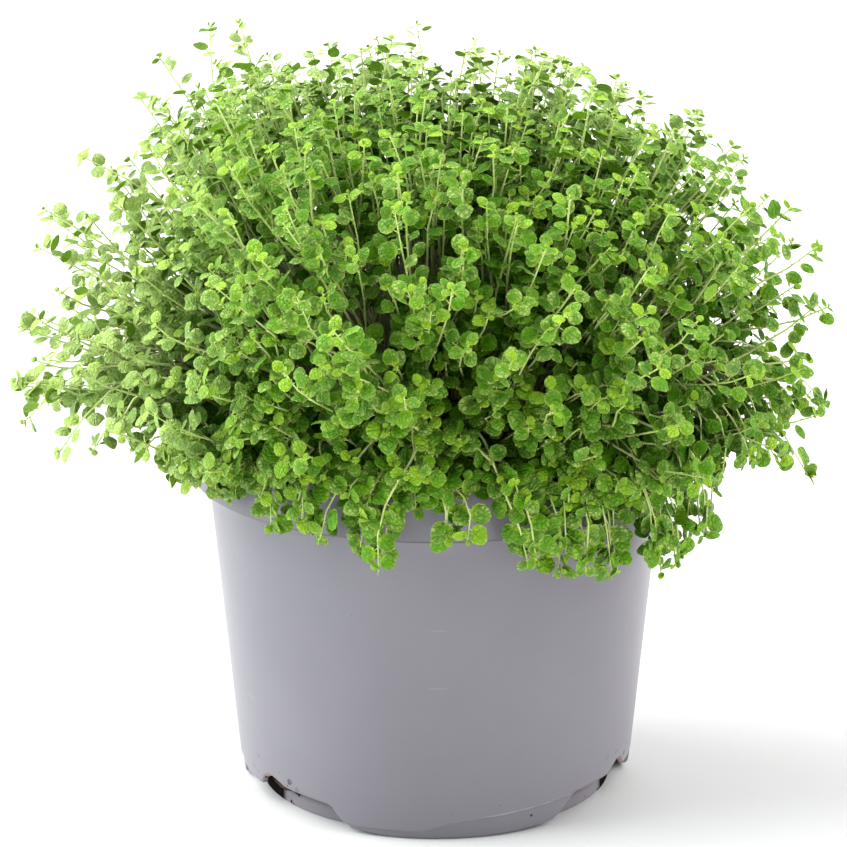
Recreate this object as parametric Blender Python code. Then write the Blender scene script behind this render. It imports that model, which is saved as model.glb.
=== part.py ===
"""Potted baby's tears: a grey nursery pot, its soil and a round crown of leafy tufts.

Metres, +Z up. The pot's axis is Z, it stands on Z = 0, and the viewer stands at -Y.
"""

import bisect
import math
import random

import bmesh
import bpy
from mathutils import Vector
from mathutils.bvhtree import BVHTree

# Pot, a tapered moulding with a collar
SIDES = 48
POT_HEIGHT = 0.0925
BASE_RADIUS = 0.0487
NECK_RADIUS = 0.0564
COLLAR_RADIUS = 0.0605
COLLAR_BOTTOM = 0.0794
WALL = 0.0012
RIM_WALL = 0.0019
EDGE = 0.0005
FLOOR_BOTTOM = 0.0080
FLOOR_TOP = 0.0094
FOOT_OUTER = 0.0440
FOOT_INNER = 0.0428

# Cut-outs of the skirt, in degrees from the front, and the drain openings
RECESSES = ((37.6, 89.0), (157.6, 209.0), (277.6, 329.0))
RECESS_HEIGHT = 0.0070
DRAIN_ANGLES = (66.0, 186.0, 305.0)
DRAIN_WIDTH = 11.0
DRAIN_HEIGHT = 0.0104
FLOOR_HOLES = 6
FLOOR_HOLE_RADIUS = 0.0035
FLOOR_HOLE_RING = 0.0290

# Soil, filling the pot with a small gap at the wall
GAP = 0.0003
SOIL_TOP = 0.0840
STUB_DEPTH = 0.0070
STUB_RADIUS = 0.0021

# Crown, a dome about the rim that comes back in under its widest ring
CROWN_RADIUS = 0.0965
CROWN_RISE = 0.0910
CROWN_WAIST = 0.0960
HANG_RADIUS = 0.0690
HANG_HEIGHT = 0.0720
SEED = 7
GOLDEN = math.pi * (3.0 - math.sqrt(5.0))

# Tufts and their leafy shoots
TUFTS = 38
TUFT_SHARE = 0.88
ROOT_RING = 0.0470
CORE_SIDES = 6
CORE_REACH = 0.76
CORE_STEPS = (0.0, 0.35, 0.62, 0.88, 1.0)
CORE_RADII = (0.0024, 0.0060, 0.0100, 0.0115, 0.0070)
SHOOTS = 162
INNER_LAYER = 0.84
SHOOT_RADIUS = 0.0010
LEAF_LENGTH = 0.0120
LEAF_THICKNESS = 0.0013
LEAF_CUP = 0.0012
LEAF_ROOT = 0.0009
STEM_POINTS = 12
LEAF_ANGLES = (240.0, 300.0, 0.0, 60.0, 120.0)
NUDGE = 0.00003
SLIVER = 0.0000015
FAR_SHOOTS = 8
FAR_REACH = 0.0975
REACH = 0.1055
REACH_SLACK = 0.0008


def clear_scene():
    """Empties the scene."""
    for obj in list(bpy.data.objects):
        bpy.data.objects.remove(obj, do_unlink=True)


def material(name, colour, roughness):
    """A plain Principled material."""
    mat = bpy.data.materials.new(name)
    mat.use_nodes = True
    shader = mat.node_tree.nodes["Principled BSDF"]
    shader.inputs["Base Color"].default_value = (*colour, 1.0)
    shader.inputs["Roughness"].default_value = roughness
    shader.inputs["Metallic"].default_value = 0.0
    return mat


def object_from(bm, name, mat=None, collection=None):
    """Moves a bmesh into a new object of the scene or of a collection."""
    bmesh.ops.recalc_face_normals(bm, faces=bm.faces)
    mesh = bpy.data.meshes.new(name)
    bm.to_mesh(mesh)
    bm.free()
    obj = bpy.data.objects.new(name, mesh)
    (collection or bpy.context.scene.collection).objects.link(obj)
    if mat:
        mesh.materials.append(mat)
    return obj


def turned(profile):
    """A bmesh body of revolution about Z through a loop of radius and height points."""
    bm = bmesh.new()
    ring = [bm.verts.new((radius, 0.0, height)) for radius, height in profile]
    edges = [bm.edges.new(pair) for pair in zip(ring, ring[1:])]
    if profile[0][0] > 0.0:
        edges.append(bm.edges.new((ring[-1], ring[0])))
    bmesh.ops.spin(
        bm, geom=ring + edges, axis=(0, 0, 1), cent=(0, 0, 0), angle=math.tau, steps=SIDES
    )
    bmesh.ops.remove_doubles(bm, verts=bm.verts, dist=0.00001)
    return bm


def from_front(radius, degrees, height):
    """A point at an angle from the front, counted towards the viewer's right."""
    angle = math.radians(degrees)
    return Vector((radius * math.sin(angle), -radius * math.cos(angle), height))


def sector(name, inner, outer, start, end, bottom, top, collection):
    """A curved block between two radii, two angles and two heights."""
    bm = bmesh.new()
    steps = max(2, math.ceil((end - start) / 12.0))
    angles = [start + (end - start) * i / steps for i in range(steps + 1)]
    outline = [from_front(outer, a, bottom) for a in angles]
    outline += [from_front(inner, a, bottom) for a in reversed(angles)]
    face = bm.faces.new([bm.verts.new(point) for point in outline])
    raised = bmesh.ops.extrude_face_region(bm, geom=[face])
    moved = [item for item in raised["geom"] if isinstance(item, bmesh.types.BMVert)]
    bmesh.ops.translate(bm, verts=moved, vec=(0.0, 0.0, top - bottom))
    return object_from(bm, name, collection=collection)


def boolean(obj, collection, operation, solver="EXACT"):
    """Joins or cuts with all of a collection, applies it and removes the helpers."""
    modifier = obj.modifiers.new("join", "BOOLEAN")
    modifier.operation = operation
    modifier.solver = solver
    modifier.operand_type = "COLLECTION"
    modifier.collection = collection
    graph = bpy.context.evaluated_depsgraph_get()
    result = bpy.data.meshes.new_from_object(obj.evaluated_get(graph))
    obj.modifiers.clear()
    obj.data = result
    for helper in list(collection.objects):
        bpy.data.objects.remove(helper, do_unlink=True)
    bpy.data.collections.remove(collection)


def helpers(name):
    """A collection for helper bodies."""
    collection = bpy.data.collections.new(name)
    bpy.context.scene.collection.children.link(collection)
    return collection


def make_pot(mat):
    """The pot: wall, collar, floor and foot ring in one moulding, then its openings."""
    neck_inner = NECK_RADIUS - WALL
    base_inner = BASE_RADIUS - WALL
    rim_inner = COLLAR_RADIUS - RIM_WALL
    profile = [
        (0.0, FLOOR_TOP),
        (base_inner + 0.0004, FLOOR_TOP),
        (neck_inner, COLLAR_BOTTOM),
        (rim_inner, COLLAR_BOTTOM + 0.0016),
        (rim_inner, POT_HEIGHT - EDGE),
        (rim_inner + EDGE, POT_HEIGHT),
        (COLLAR_RADIUS - EDGE, POT_HEIGHT),
        (COLLAR_RADIUS, POT_HEIGHT - EDGE),
        (COLLAR_RADIUS, COLLAR_BOTTOM),
        (NECK_RADIUS, COLLAR_BOTTOM),
        (BASE_RADIUS, 0.0),
        (base_inner, 0.0),
        (base_inner, FLOOR_BOTTOM),
        (FOOT_OUTER, FLOOR_BOTTOM),
        (FOOT_OUTER, 0.0),
        (FOOT_INNER, 0.0),
        (FOOT_INNER, FLOOR_BOTTOM),
        (0.0, FLOOR_BOTTOM),
    ]
    pot = object_from(turned(profile), "pot", mat)
    cutters = helpers("pot_cutters")
    inner = (FOOT_OUTER + base_inner) / 2
    outer = BASE_RADIUS + 0.004
    for i, (start, end) in enumerate(RECESSES):
        sector(f"recess_{i}", inner, outer, start, end, -0.002, RECESS_HEIGHT, cutters)
    boolean(pot, cutters, "DIFFERENCE")
    cutters = helpers("drain_cutters")
    for i, middle in enumerate(DRAIN_ANGLES):
        start = middle - DRAIN_WIDTH / 2
        end = middle + DRAIN_WIDTH / 2
        bottom = RECESS_HEIGHT - 0.001
        sector(f"drain_{i}", inner, outer, start, end, bottom, DRAIN_HEIGHT, cutters)
    for i in range(FLOOR_HOLES):
        bm = bmesh.new()
        bmesh.ops.create_cone(
            bm,
            cap_ends=True,
            segments=12,
            radius1=FLOOR_HOLE_RADIUS,
            radius2=FLOOR_HOLE_RADIUS,
            depth=0.01,
        )
        middle = (FLOOR_BOTTOM + FLOOR_TOP) / 2
        place = from_front(FLOOR_HOLE_RING, 360.0 * (i + 0.5) / FLOOR_HOLES, middle)
        bmesh.ops.translate(bm, verts=bm.verts, vec=place)
        object_from(bm, f"floor_hole_{i}", collection=cutters)
    boolean(pot, cutters, "DIFFERENCE")
    return pot


def make_soil(mat, roots):
    """The soil, which fills the pot, with a plain hole for each tuft's root end."""
    profile = [
        (0.0, SOIL_TOP),
        (COLLAR_RADIUS - RIM_WALL - GAP, SOIL_TOP),
        (COLLAR_RADIUS - RIM_WALL - GAP, COLLAR_BOTTOM + 0.0019),
        (NECK_RADIUS - WALL - GAP, COLLAR_BOTTOM),
        (BASE_RADIUS - WALL, FLOOR_TOP + GAP),
        (0.0, FLOOR_TOP + GAP),
    ]
    soil = object_from(turned(profile), "soil", mat)
    holes = helpers("soil_holes")
    for i, root in enumerate(roots):
        bm = bmesh.new()
        bmesh.ops.create_cone(
            bm,
            cap_ends=True,
            segments=CORE_SIDES,
            radius1=STUB_RADIUS + 1.4 * GAP,
            radius2=STUB_RADIUS + 1.4 * GAP,
            depth=2.0 * (STUB_DEPTH + GAP),
        )
        bmesh.ops.translate(bm, verts=bm.verts, vec=root)
        object_from(bm, f"soil_hole_{i}", collection=holes)
    boolean(soil, holes, "DIFFERENCE")
    return soil


def crown_profile():
    """Radius and height down the crown's outside, from its top to its hanging edge."""
    points = []
    for i in range(61):
        angle = i / 60 * math.pi / 2
        points.append((CROWN_RADIUS * math.sin(angle), CROWN_WAIST + CROWN_RISE * math.cos(angle)))
    for i in range(1, 21):
        down = i / 20
        radius = CROWN_RADIUS - (CROWN_RADIUS - HANG_RADIUS) * down**1.3
        points.append((radius, CROWN_WAIST - (CROWN_WAIST - HANG_HEIGHT) * down))
    return points


PROFILE = crown_profile()
AREAS = [0.0]
for (r0, z0), (r1, z1) in zip(PROFILE, PROFILE[1:]):
    AREAS.append(AREAS[-1] + (r0 + r1) * math.hypot(r1 - r0, z1 - z0))


def crown_point(share, azimuth):
    """The crown's point and outward direction at a share of its area from the top."""
    area = share * AREAS[-1]
    i = min(max(bisect.bisect_right(AREAS, area) - 1, 0), len(PROFILE) - 2)
    part = (area - AREAS[i]) / (AREAS[i + 1] - AREAS[i])
    (ra, za), (rb, zb) = PROFILE[i], PROFILE[i + 1]
    radius = ra + (rb - ra) * part
    height = za + (zb - za) * part
    length = math.hypot(rb - ra, zb - za)
    side = Vector((math.cos(azimuth), math.sin(azimuth), 0.0))
    point = side * radius + Vector((0.0, 0.0, height))
    return point, side * ((za - zb) / length) + Vector((0.0, 0.0, (rb - ra) / length))


def bend(start, control, end, t):
    """A point on a quadratic curve."""
    return start * (1 - t) ** 2 + control * (2 * t * (1 - t)) + end * t**2


class Tuft:
    """One tuft: its root in the soil, the arching line it grows along and its bodies."""

    def __init__(self, index):
        share = (index + 0.5) / TUFTS
        azimuth = index * GOLDEN
        self.tip = crown_point(share * TUFT_SHARE, azimuth)[0]
        radius = ROOT_RING * math.sqrt(share)
        self.root = Vector((radius * math.cos(azimuth), radius * math.sin(azimuth), SOIL_TOP))
        self.end = self.root + (self.tip - self.root) * CORE_REACH
        lift = 0.018 + 0.024 * share
        lean = 0.10 * (self.end - self.root)
        self.control = self.root + Vector((lean.x, lean.y, lift))
        self.wanted = []
        self.clusters = []
        self.bodies = []

    def axis(self, t):
        """A point along the tuft's line, from its root to the end of its core."""
        return bend(self.root, self.control, self.end, t)


def frame_along(direction):
    """Two directions square to this one."""
    direction = direction.normalized()
    side = Vector((0.0, 0.0, 1.0)).cross(direction)
    if side.length < 0.1:
        side = Vector((1.0, 0.0, 0.0))
    side.normalize()
    return side, direction.cross(side)


def tube(path, radii, sides):
    """The points and faces of a closed tube with flat ends along a path."""
    points = []
    for i, centre in enumerate(path):
        before = path[max(i - 1, 0)]
        after = path[min(i + 1, len(path) - 1)]
        across, up = frame_along(after - before)
        for k in range(sides):
            angle = math.tau * k / sides
            points.append(centre + (across * math.cos(angle) + up * math.sin(angle)) * radii[i])
    faces = []
    for i in range(len(path) - 1):
        for k in range(sides):
            low = i * sides + k
            high = i * sides + (k + 1) % sides
            faces.append([low, high, high + sides, low + sides])
    faces.append(list(range(sides))[::-1])
    faces.append([(len(path) - 1) * sides + k for k in range(sides)])
    return points, faces


def join(bodies):
    """Several bodies' points and faces in one pair of lists."""
    points = []
    faces = []
    for body_points, body_faces in bodies:
        first = len(points)
        points += body_points
        faces += [[first + corner for corner in face] for face in body_faces]
    return points, faces


def shoot_stem(path, facing, turn, radii):
    """Rings of three corners along a shoot, the last two about its leaves' roots."""
    ends = path + [path[-1] + facing * LEAF_ROOT]
    ways = [(after - before).normalized() for before, after in zip(ends, ends[1:])]
    ways.append(facing)
    across, up = frame_along(facing)
    corner = across * math.cos(turn) + up * math.sin(turn)
    rings = []
    for i in range(len(ends) - 1, -1, -1):
        if i < len(ends) - 1:
            corner.rotate(ways[i + 1].rotation_difference(ways[i]))
        other = ways[i].cross(corner)
        ring = []
        for k in range(3):
            angle = math.tau * (k - 0.5) / 3
            spoke = corner * math.cos(angle) + other * math.sin(angle)
            ring.append(ends[i] + spoke * radii[i])
        rings.insert(0, ring)
    return rings


def add_leaf(points, faces, side, facing, leaf, grow):
    """Draws a round cupped leaf out of one side of a shoot's last ring."""
    lift, length = leaf
    low, low_next, high_next, high = side
    middle = (points[low] + points[low_next] + points[high] + points[high_next]) / 4
    across = (points[low_next] - points[low]).normalized()
    flat = across.cross(facing)
    along = flat * math.cos(lift) + facing * math.sin(lift)
    normal = facing * math.cos(lift) - flat * math.sin(lift)
    radius = length / 2.3
    centre = middle + along * (length - radius)
    first = len(points)
    for angle in LEAF_ANGLES:
        turn = math.radians(angle)
        edge = along * math.cos(turn) + across * math.sin(turn)
        points.append(centre + edge * (radius + grow) + normal * LEAF_CUP)
    top = len(points)
    points.append(centre + normal * grow)
    points.append(centre - normal * (LEAF_THICKNESS + grow))
    rim = list(range(first, top))
    upper = [high] + rim + [high_next]
    lower = [low] + rim + [low_next]
    for k in range(len(upper)):
        faces.append([upper[k - 1], upper[k], top])
        faces.append([lower[k], lower[k - 1], top + 1])
    faces.append([low, high, rim[0]])
    faces.append([high_next, low_next, rim[-1]])


def cluster(path, facing, turn, leaves, grow=0.0):
    """A shoot with up to three leaves at its end, in one closed body."""
    radii = [SHOOT_RADIUS * 1.5, SHOOT_RADIUS * 1.2, SHOOT_RADIUS, SHOOT_RADIUS]
    rings = shoot_stem(path, facing, turn, [radius + grow for radius in radii])
    points = [point for ring in rings for point in ring]
    faces = []
    last = len(rings) - 2
    for i in range(len(rings) - 1):
        for k in range(3):
            after = (k + 1) % 3
            side = [3 * i + k, 3 * i + after, 3 * i + 3 + after, 3 * i + 3 + k]
            if i == last and leaves[k]:
                add_leaf(points, faces, side, facing, leaves[k], grow)
            else:
                faces.append(side)
    faces.append([0, 2, 1])
    faces.append([3 * last + 3 + k for k in range(3)])
    return points, faces


def tree_of(bodies):
    """A search tree over several bodies."""
    points, faces = join(bodies)
    return BVHTree.FromPolygons(points, faces)


def mesh_body(obj):
    """An object's points and faces."""
    points = [vertex.co.copy() for vertex in obj.data.vertices]
    return points, [list(polygon.vertices) for polygon in obj.data.polygons]


def grow_cores(tufts, pot_tree):
    """Gives each tuft its tapered core, slim enough to leave its neighbours free."""
    lines = [[tuft.axis(t / 12) for t in range(13)] for tuft in tufts]
    for i, tuft in enumerate(tufts):
        path = [tuft.root - Vector((0.0, 0.0, STUB_DEPTH))]
        radii = [STUB_RADIUS]
        for t, widest in zip(CORE_STEPS, CORE_RADII):
            point = tuft.axis(t)
            near = min(
                (point - other).length
                for j, line in enumerate(lines)
                if j != i
                for other in line
            )
            near_pot = pot_tree.find_nearest(point)[3]
            path.append(point)
            radii.append(min(widest, 0.41 * near, 0.75 * near_pot - 0.0005))
        radii[1] = STUB_RADIUS
        tuft.core = tube(path, radii, CORE_SIDES)


def leaves_only(body):
    """The faces of a cluster that aren't its stem's."""
    points, faces = body
    return points, [face for face in faces if max(face) >= STEM_POINTS]


def reach_of(body):
    """A body's greatest distance from the pot's axis."""
    return max(math.hypot(point.x, point.y) for point in body[0])


def clear_of(body, trees):
    """True if a body crosses none of the search trees."""
    tree = tree_of([body])
    return not any(tree.overlap(other) for other in trees)


def grow_cluster(rng, tuft, tip, outward, far, trees):
    """A shoot whose leaves are turned and tilted until they cross nothing."""
    best = None
    most = -1
    own = tree_of([leaves_only(body) for body in tuft.bodies])
    for attempt in range(60 if far else 24):
        pull = rng.uniform(-0.006, 0.002) if not far else 0.0
        end = tip + outward * pull
        spread = (end - tuft.end).length
        start = tuft.axis(min(0.95, max(0.45, 0.98 - 9.0 * spread)))
        path = [start, (start + end) / 2 + Vector((0.0, 0.0, rng.uniform(0.0, 0.004))), end]
        wobble = Vector((rng.gauss(0, 0.22), rng.gauss(0, 0.22), rng.gauss(0.35, 0.15)))
        facing = (outward + wobble).normalized()
        turn = rng.uniform(0.0, math.tau)
        if not clear_of(cluster(path, facing, turn, [None] * 3, GAP), trees):
            continue
        leaves = [None] * 3
        for k in range(3):
            for trial in range(8):
                length = LEAF_LENGTH * rng.uniform(0.92, 1.08) * (1.0 - 0.025 * trial)
                alone = [None] * 3
                alone[k] = (rng.uniform(0.05, 0.45 + 0.06 * trial), length)
                body = cluster(path, facing, turn, alone, GAP)
                if reach_of(body) < REACH and clear_of(body, trees + [own]):
                    leaves[k] = alone[k]
                    break
        count = sum(leaf is not None for leaf in leaves)
        if far and reach_of(cluster(path, facing, turn, leaves)) < REACH - REACH_SLACK:
            count = min(count, 1)
        if count > most:
            best, most = (path, facing, turn, leaves), count
        if most == 3:
            break
    if best:
        tuft.clusters.append(best)
        tuft.bodies.append(cluster(*best))


def bmesh_of(body):
    """A bmesh of a body's points and faces."""
    bm = bmesh.new()
    verts = [bm.verts.new(point) for point in body[0]]
    for face in body[1]:
        bm.faces.new([verts[corner] for corner in face])
    return bm


def fuse(rng, tuft, name, mat):
    """Joins a tuft's core, shoots and leaves in one closed body."""
    for attempt in range(12):
        obj = object_from(bmesh_of(tuft.core), name, mat)
        repeats = helpers(f"{name}_repeats")
        for i, (path, facing, turn, leaves) in enumerate(tuft.clusters):
            nudge = Vector([rng.uniform(-1.0, 1.0) for _ in range(3)]) * NUDGE * attempt
            path = [path[0] + 10.0 * nudge] + [point + nudge for point in path[1:]]
            body = cluster(path, facing, turn, leaves)
            object_from(bmesh_of(body), f"{name}_shoot_{i}", collection=repeats)
        boolean(obj, repeats, "UNION", "MANIFOLD")
        if tidy_shell(obj):
            return
        bpy.data.objects.remove(obj, do_unlink=True)
    raise RuntimeError(name + " doesn't join in one closed body")


def tidy_shell(obj):
    """Drops scraps and sealed hollows, and says if the body is closed with no slivers."""
    bm = bmesh.new()
    bm.from_mesh(obj.data)
    seen = set()
    shells = []
    for first in bm.verts:
        if first in seen:
            continue
        seen.add(first)
        shell = [first]
        for vert in shell:
            for edge in vert.link_edges:
                other = edge.other_vert(vert)
                if other not in seen:
                    seen.add(other)
                    shell.append(other)
        shells.append(shell)
    shells.sort(key=len)
    for shell in shells[:-1]:
        bmesh.ops.delete(bm, geom=shell, context="VERTS")
    bmesh.ops.triangulate(bm, faces=bm.faces)
    bm.to_mesh(obj.data)
    sound = all(edge.is_manifold for edge in bm.edges)
    sound = sound and all(vert.is_manifold for vert in bm.verts)
    for face in bm.faces:
        longest = max(edge.calc_length() for edge in face.edges)
        sound = sound and 2.0 * face.calc_area() > SLIVER * longest
    bm.free()
    return sound


def main():
    """Builds the pot, the soil and the tufts."""
    clear_scene()
    rng = random.Random(SEED)
    pot = make_pot(material("pot_plastic", (0.40, 0.40, 0.44), 0.45))
    tufts = [Tuft(index) for index in range(TUFTS)]
    soil = make_soil(material("soil", (0.030, 0.020, 0.013), 0.95), [t.root for t in tufts])
    pot_tree = tree_of([mesh_body(pot)])
    grow_cores(tufts, pot_tree)
    for i in range(SHOOTS):
        azimuth = (i + 0.37) * GOLDEN + rng.uniform(-0.04, 0.04)
        tip, outward = crown_point((i + 0.5) / SHOOTS, azimuth)
        near = min(tufts, key=lambda tuft: (tuft.tip - tip).length)
        if i % 3 == 2 and tip.z > CROWN_WAIST:
            middle = Vector((0.0, 0.0, CROWN_WAIST))
            tip = middle + (tip - middle) * INNER_LAYER
        near.wanted.append((tip, outward, False))
    for i in range(FAR_SHOOTS):
        azimuth = math.tau * i / FAR_SHOOTS
        side = Vector((math.cos(azimuth), math.sin(azimuth), 0.0))
        tip = side * FAR_REACH + Vector((0.0, 0.0, CROWN_WAIST + 0.006 * (i % 3 - 1)))
        near = min(tufts, key=lambda tuft: (tuft.tip - tip).length)
        near.wanted.insert(0, (tip, side, True))
    soil_tree = tree_of([mesh_body(soil)])
    for tuft in tufts:
        others = [other for other in tufts if other is not tuft]
        bodies = [other.core for other in others]
        for other in others:
            bodies += other.bodies
        trees = [pot_tree, soil_tree, tree_of(bodies)]
        for tip, outward, far in tuft.wanted:
            grow_cluster(rng, tuft, tip, outward, far, trees)
    green = material("leaf_green", (0.110, 0.300, 0.030), 0.45)
    for index, tuft in enumerate(tufts):
        fuse(rng, tuft, f"tuft_{index:02d}", green)


main()
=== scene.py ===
"""Potted baby's tears: a grey nursery pot, its soil and a round crown of thin stems and small leaves.

Metres, +Z up, with the viewer at -Y. Angles round the pot count from the front to the viewer's right.
"""

import math

import bmesh
import bpy
import numpy as np
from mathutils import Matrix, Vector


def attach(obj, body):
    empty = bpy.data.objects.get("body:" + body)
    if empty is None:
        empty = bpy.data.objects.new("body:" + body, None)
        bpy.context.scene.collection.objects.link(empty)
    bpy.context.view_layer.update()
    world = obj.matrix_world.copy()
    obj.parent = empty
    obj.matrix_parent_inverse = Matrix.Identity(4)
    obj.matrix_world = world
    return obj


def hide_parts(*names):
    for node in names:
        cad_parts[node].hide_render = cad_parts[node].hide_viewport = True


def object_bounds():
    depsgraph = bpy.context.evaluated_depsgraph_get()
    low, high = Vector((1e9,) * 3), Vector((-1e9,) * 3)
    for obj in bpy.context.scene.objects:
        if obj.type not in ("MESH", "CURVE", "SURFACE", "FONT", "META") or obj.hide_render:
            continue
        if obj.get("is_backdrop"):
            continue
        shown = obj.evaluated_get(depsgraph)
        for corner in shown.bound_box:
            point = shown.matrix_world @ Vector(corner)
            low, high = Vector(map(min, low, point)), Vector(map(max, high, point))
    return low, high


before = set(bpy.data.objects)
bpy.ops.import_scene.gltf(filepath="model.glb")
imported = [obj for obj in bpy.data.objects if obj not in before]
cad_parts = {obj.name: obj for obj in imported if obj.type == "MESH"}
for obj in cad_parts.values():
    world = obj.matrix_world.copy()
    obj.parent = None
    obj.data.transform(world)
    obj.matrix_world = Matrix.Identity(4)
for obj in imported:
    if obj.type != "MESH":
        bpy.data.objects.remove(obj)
cad_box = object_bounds()


# Pot. A thin nursery pot, injection moulded in one piece of matt light grey plastic, standing on three feet.
# Its wall tapers to the base, its collar steps out above a dark line, and behind the cut-outs of the skirt
# stand an inset foot ring and the drain slots. The floor has six holes.
POT_TOP = 0.0925
BASE_RADIUS = 0.0487
NECK_RADIUS = 0.0564
COLLAR_RADIUS = 0.0605
COLLAR_FOOT = 0.0794
WALL = 0.0012
RIM_WALL = 0.0019
COLLAR_ROUNDING = 0.0005
RIM_ROUNDING = 0.0007
EDGE_INWARD = 0.0006
EDGE_DEPTH = 0.0004
BAND_STEP = 0.00045
BAND_LOWEST = 0.0012
FLOOR_LOW = 0.0080
FLOOR_HIGH = 0.0094
FLOOR_REACH = 0.0004
RING_INNER = 0.0428
RING_OUTER = 0.0440
DRAINS = (66.0, 186.0, 305.0)
DRAIN_WIDTH = 11.0
DRAIN_HEIGHTS = (0.0100, 0.0095, 0.0085)
SLOT_SHADE_ANGLES = (76.0, 186.0, 294.0)
HOLE_COUNT = 6
HOLE_RADIUS = 0.0035
HOLE_RING = 0.0290
PLASTIC = (0.178, 0.169, 0.193)
PLASTIC_WORN = (0.209, 0.199, 0.225)
PLASTIC_DIRT_AND_SHADE = (0.022, 0.018, 0.015)
PLASTIC_STAIN = (0.215, 0.150, 0.140)
PLASTIC_SCUFF_AND_HIGHLIGHT = (0.62, 0.60, 0.62)
PLASTIC_ROUGHNESS = 0.34
SLOT_SHADE_COLOUR = (0.009, 0.007, 0.006)
SHARP_ANGLE = 38.0

# The wall's lower edge, which stands on three feet: degrees from the front, and the height in millimetres.
LOWER_RIM = (
    (0, 0.0), (20, 0.1), (32, 0.7), (37, 1.4), (39, 2.8), (42, 5.2), (43.5, 6.8), (45, 7.2), (52, 7.4), (60, 7.5),
    (72, 6.8), (84, 6.6), (87, 5.0), (89, 1.5), (92, 0.3), (100, 0.0), (150, 0.0), (155, 0.5), (158, 3.5),
    (160, 6.2), (162, 6.8), (178, 7.0), (194, 6.9), (204, 6.7), (207, 5.5), (209, 2.0), (212, 0.4), (220, 0.0),
    (270, 0.0), (275, 0.4), (278, 2.4), (280, 4.0), (283, 4.4), (298, 4.7), (301, 6.0), (309, 7.2), (322, 6.7),
    (327, 6.4), (329, 5.9), (330.5, 4.2), (332.5, 2.4), (335, 1.2), (340, 0.4), (346, 0.0), (360, 0.0),
)

# The step line round each foot, below which the wall is thinner: degrees from the foot's middle, millimetres.
BAND_LINE = ((-60, 2.0), (-4, 2.0), (8, 4.9), (20, 5.4), (43, 7.0), (48, 5.0), (60, 2.0))


def grid_faces(rows, columns, first=0, close_rows=False):
    """Quads between neighbouring rows and columns of a grid whose columns close round."""
    row = np.arange(rows if close_rows else rows - 1)[:, None]
    column = np.arange(columns)[None, :]
    after = (column + 1) % columns
    above = (row + 1) % rows
    corners = (row * columns + column, row * columns + after)
    corners += (above * columns + after, above * columns + column)
    return np.stack(corners, -1).reshape(-1, 4) + first


def round_z(radius, degrees, height):
    """Points at a radius, an angle from the front and a height."""
    angle = np.radians(degrees)
    return np.stack(np.broadcast_arrays(radius * np.sin(angle), -radius * np.cos(angle), height), -1)


def smooth_step(value, low, high):
    """0 below low, 1 above high, and 3x² - 2x³ between them."""
    part = np.clip((value - low) / (high - low), 0.0, 1.0)
    return part * part * (3.0 - 2.0 * part)


def put_in_mesh(name, points, groups):
    """A smooth mesh object of points and of arrays of faces, each array with one number of corners."""
    mesh = bpy.data.meshes.new(name)
    mesh.vertices.add(len(points))
    mesh.vertices.foreach_set("co", np.asarray(points, np.float32).ravel())
    counts = np.concatenate([np.full(len(faces), faces.shape[1]) for faces in groups])
    corners = np.concatenate([faces.ravel() for faces in groups]).astype(np.int32)
    mesh.loops.add(len(corners))
    mesh.polygons.add(len(counts))
    mesh.polygons.foreach_set("loop_start", (np.cumsum(counts) - counts).astype(np.int32))
    mesh.polygons.foreach_set("vertices", corners)
    mesh.polygons.foreach_set("use_smooth", np.ones(len(counts), bool))
    mesh.update(calc_edges=True)
    mesh.validate()
    obj = bpy.data.objects.new(name, mesh)
    bpy.context.scene.collection.objects.link(obj)
    return obj


def cut_height(degrees):
    """Height of the wall's lower edge at these degrees: the table's lines, and a steep arch over each drain."""
    height = np.interp(degrees, *np.array(LOWER_RIM).T) * 0.001
    for middle, top in zip(DRAINS, DRAIN_HEIGHTS):
        away = np.clip(np.abs(degrees - middle) / (DRAIN_WIDTH / 2), 0.0, 1.0)
        height += np.maximum(top - height, 0.0) * (1.0 - away**1.4) ** 0.9
    return height


def wall_radius(height):
    """The wall's outer radius, on a straight taper from base to neck."""
    return BASE_RADIUS + (NECK_RADIUS - BASE_RADIUS) * height / COLLAR_FOOT


bends = [degrees for degrees, _ in LOWER_RIM[1:-1]]
arches = [middle + DRAIN_WIDTH / 2 * part for middle in DRAINS for part in np.linspace(-1.0, 1.0, 9)]
around = np.unique(np.concatenate([np.arange(0.0, 360.0, 2.0), bends, arches]))
lower_edge = cut_height(around)
band_line = np.interp((around + 60.0) % 120.0 - 60.0, *np.array(BAND_LINE).T) * 0.001
band_step = np.where(band_line > lower_edge + BAND_LOWEST, BAND_STEP, 0.0)
band_line = np.maximum(band_line, lower_edge + BAND_LOWEST)
rows = [lower_edge + up for up in (0.0, 0.0003, 0.0007)]
rows += [band_line + up for up in (-0.0004, -0.0002, 0.0, 0.0002, 0.0004)]
up_wall = np.append([0.01, 0.025], np.linspace(0.05, 0.993, 16))
rows += [rows[-1] + (COLLAR_FOOT - rows[-1]) * part for part in up_wall]
outer_height = np.array(rows)
outer_radius = wall_radius(outer_height)
outer_radius -= band_step * (1.0 - smooth_step(outer_height, band_line - 0.0003, band_line + 0.0003))
outer_radius -= EDGE_INWARD * np.exp(-(outer_height - lower_edge) / EDGE_DEPTH)

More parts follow.
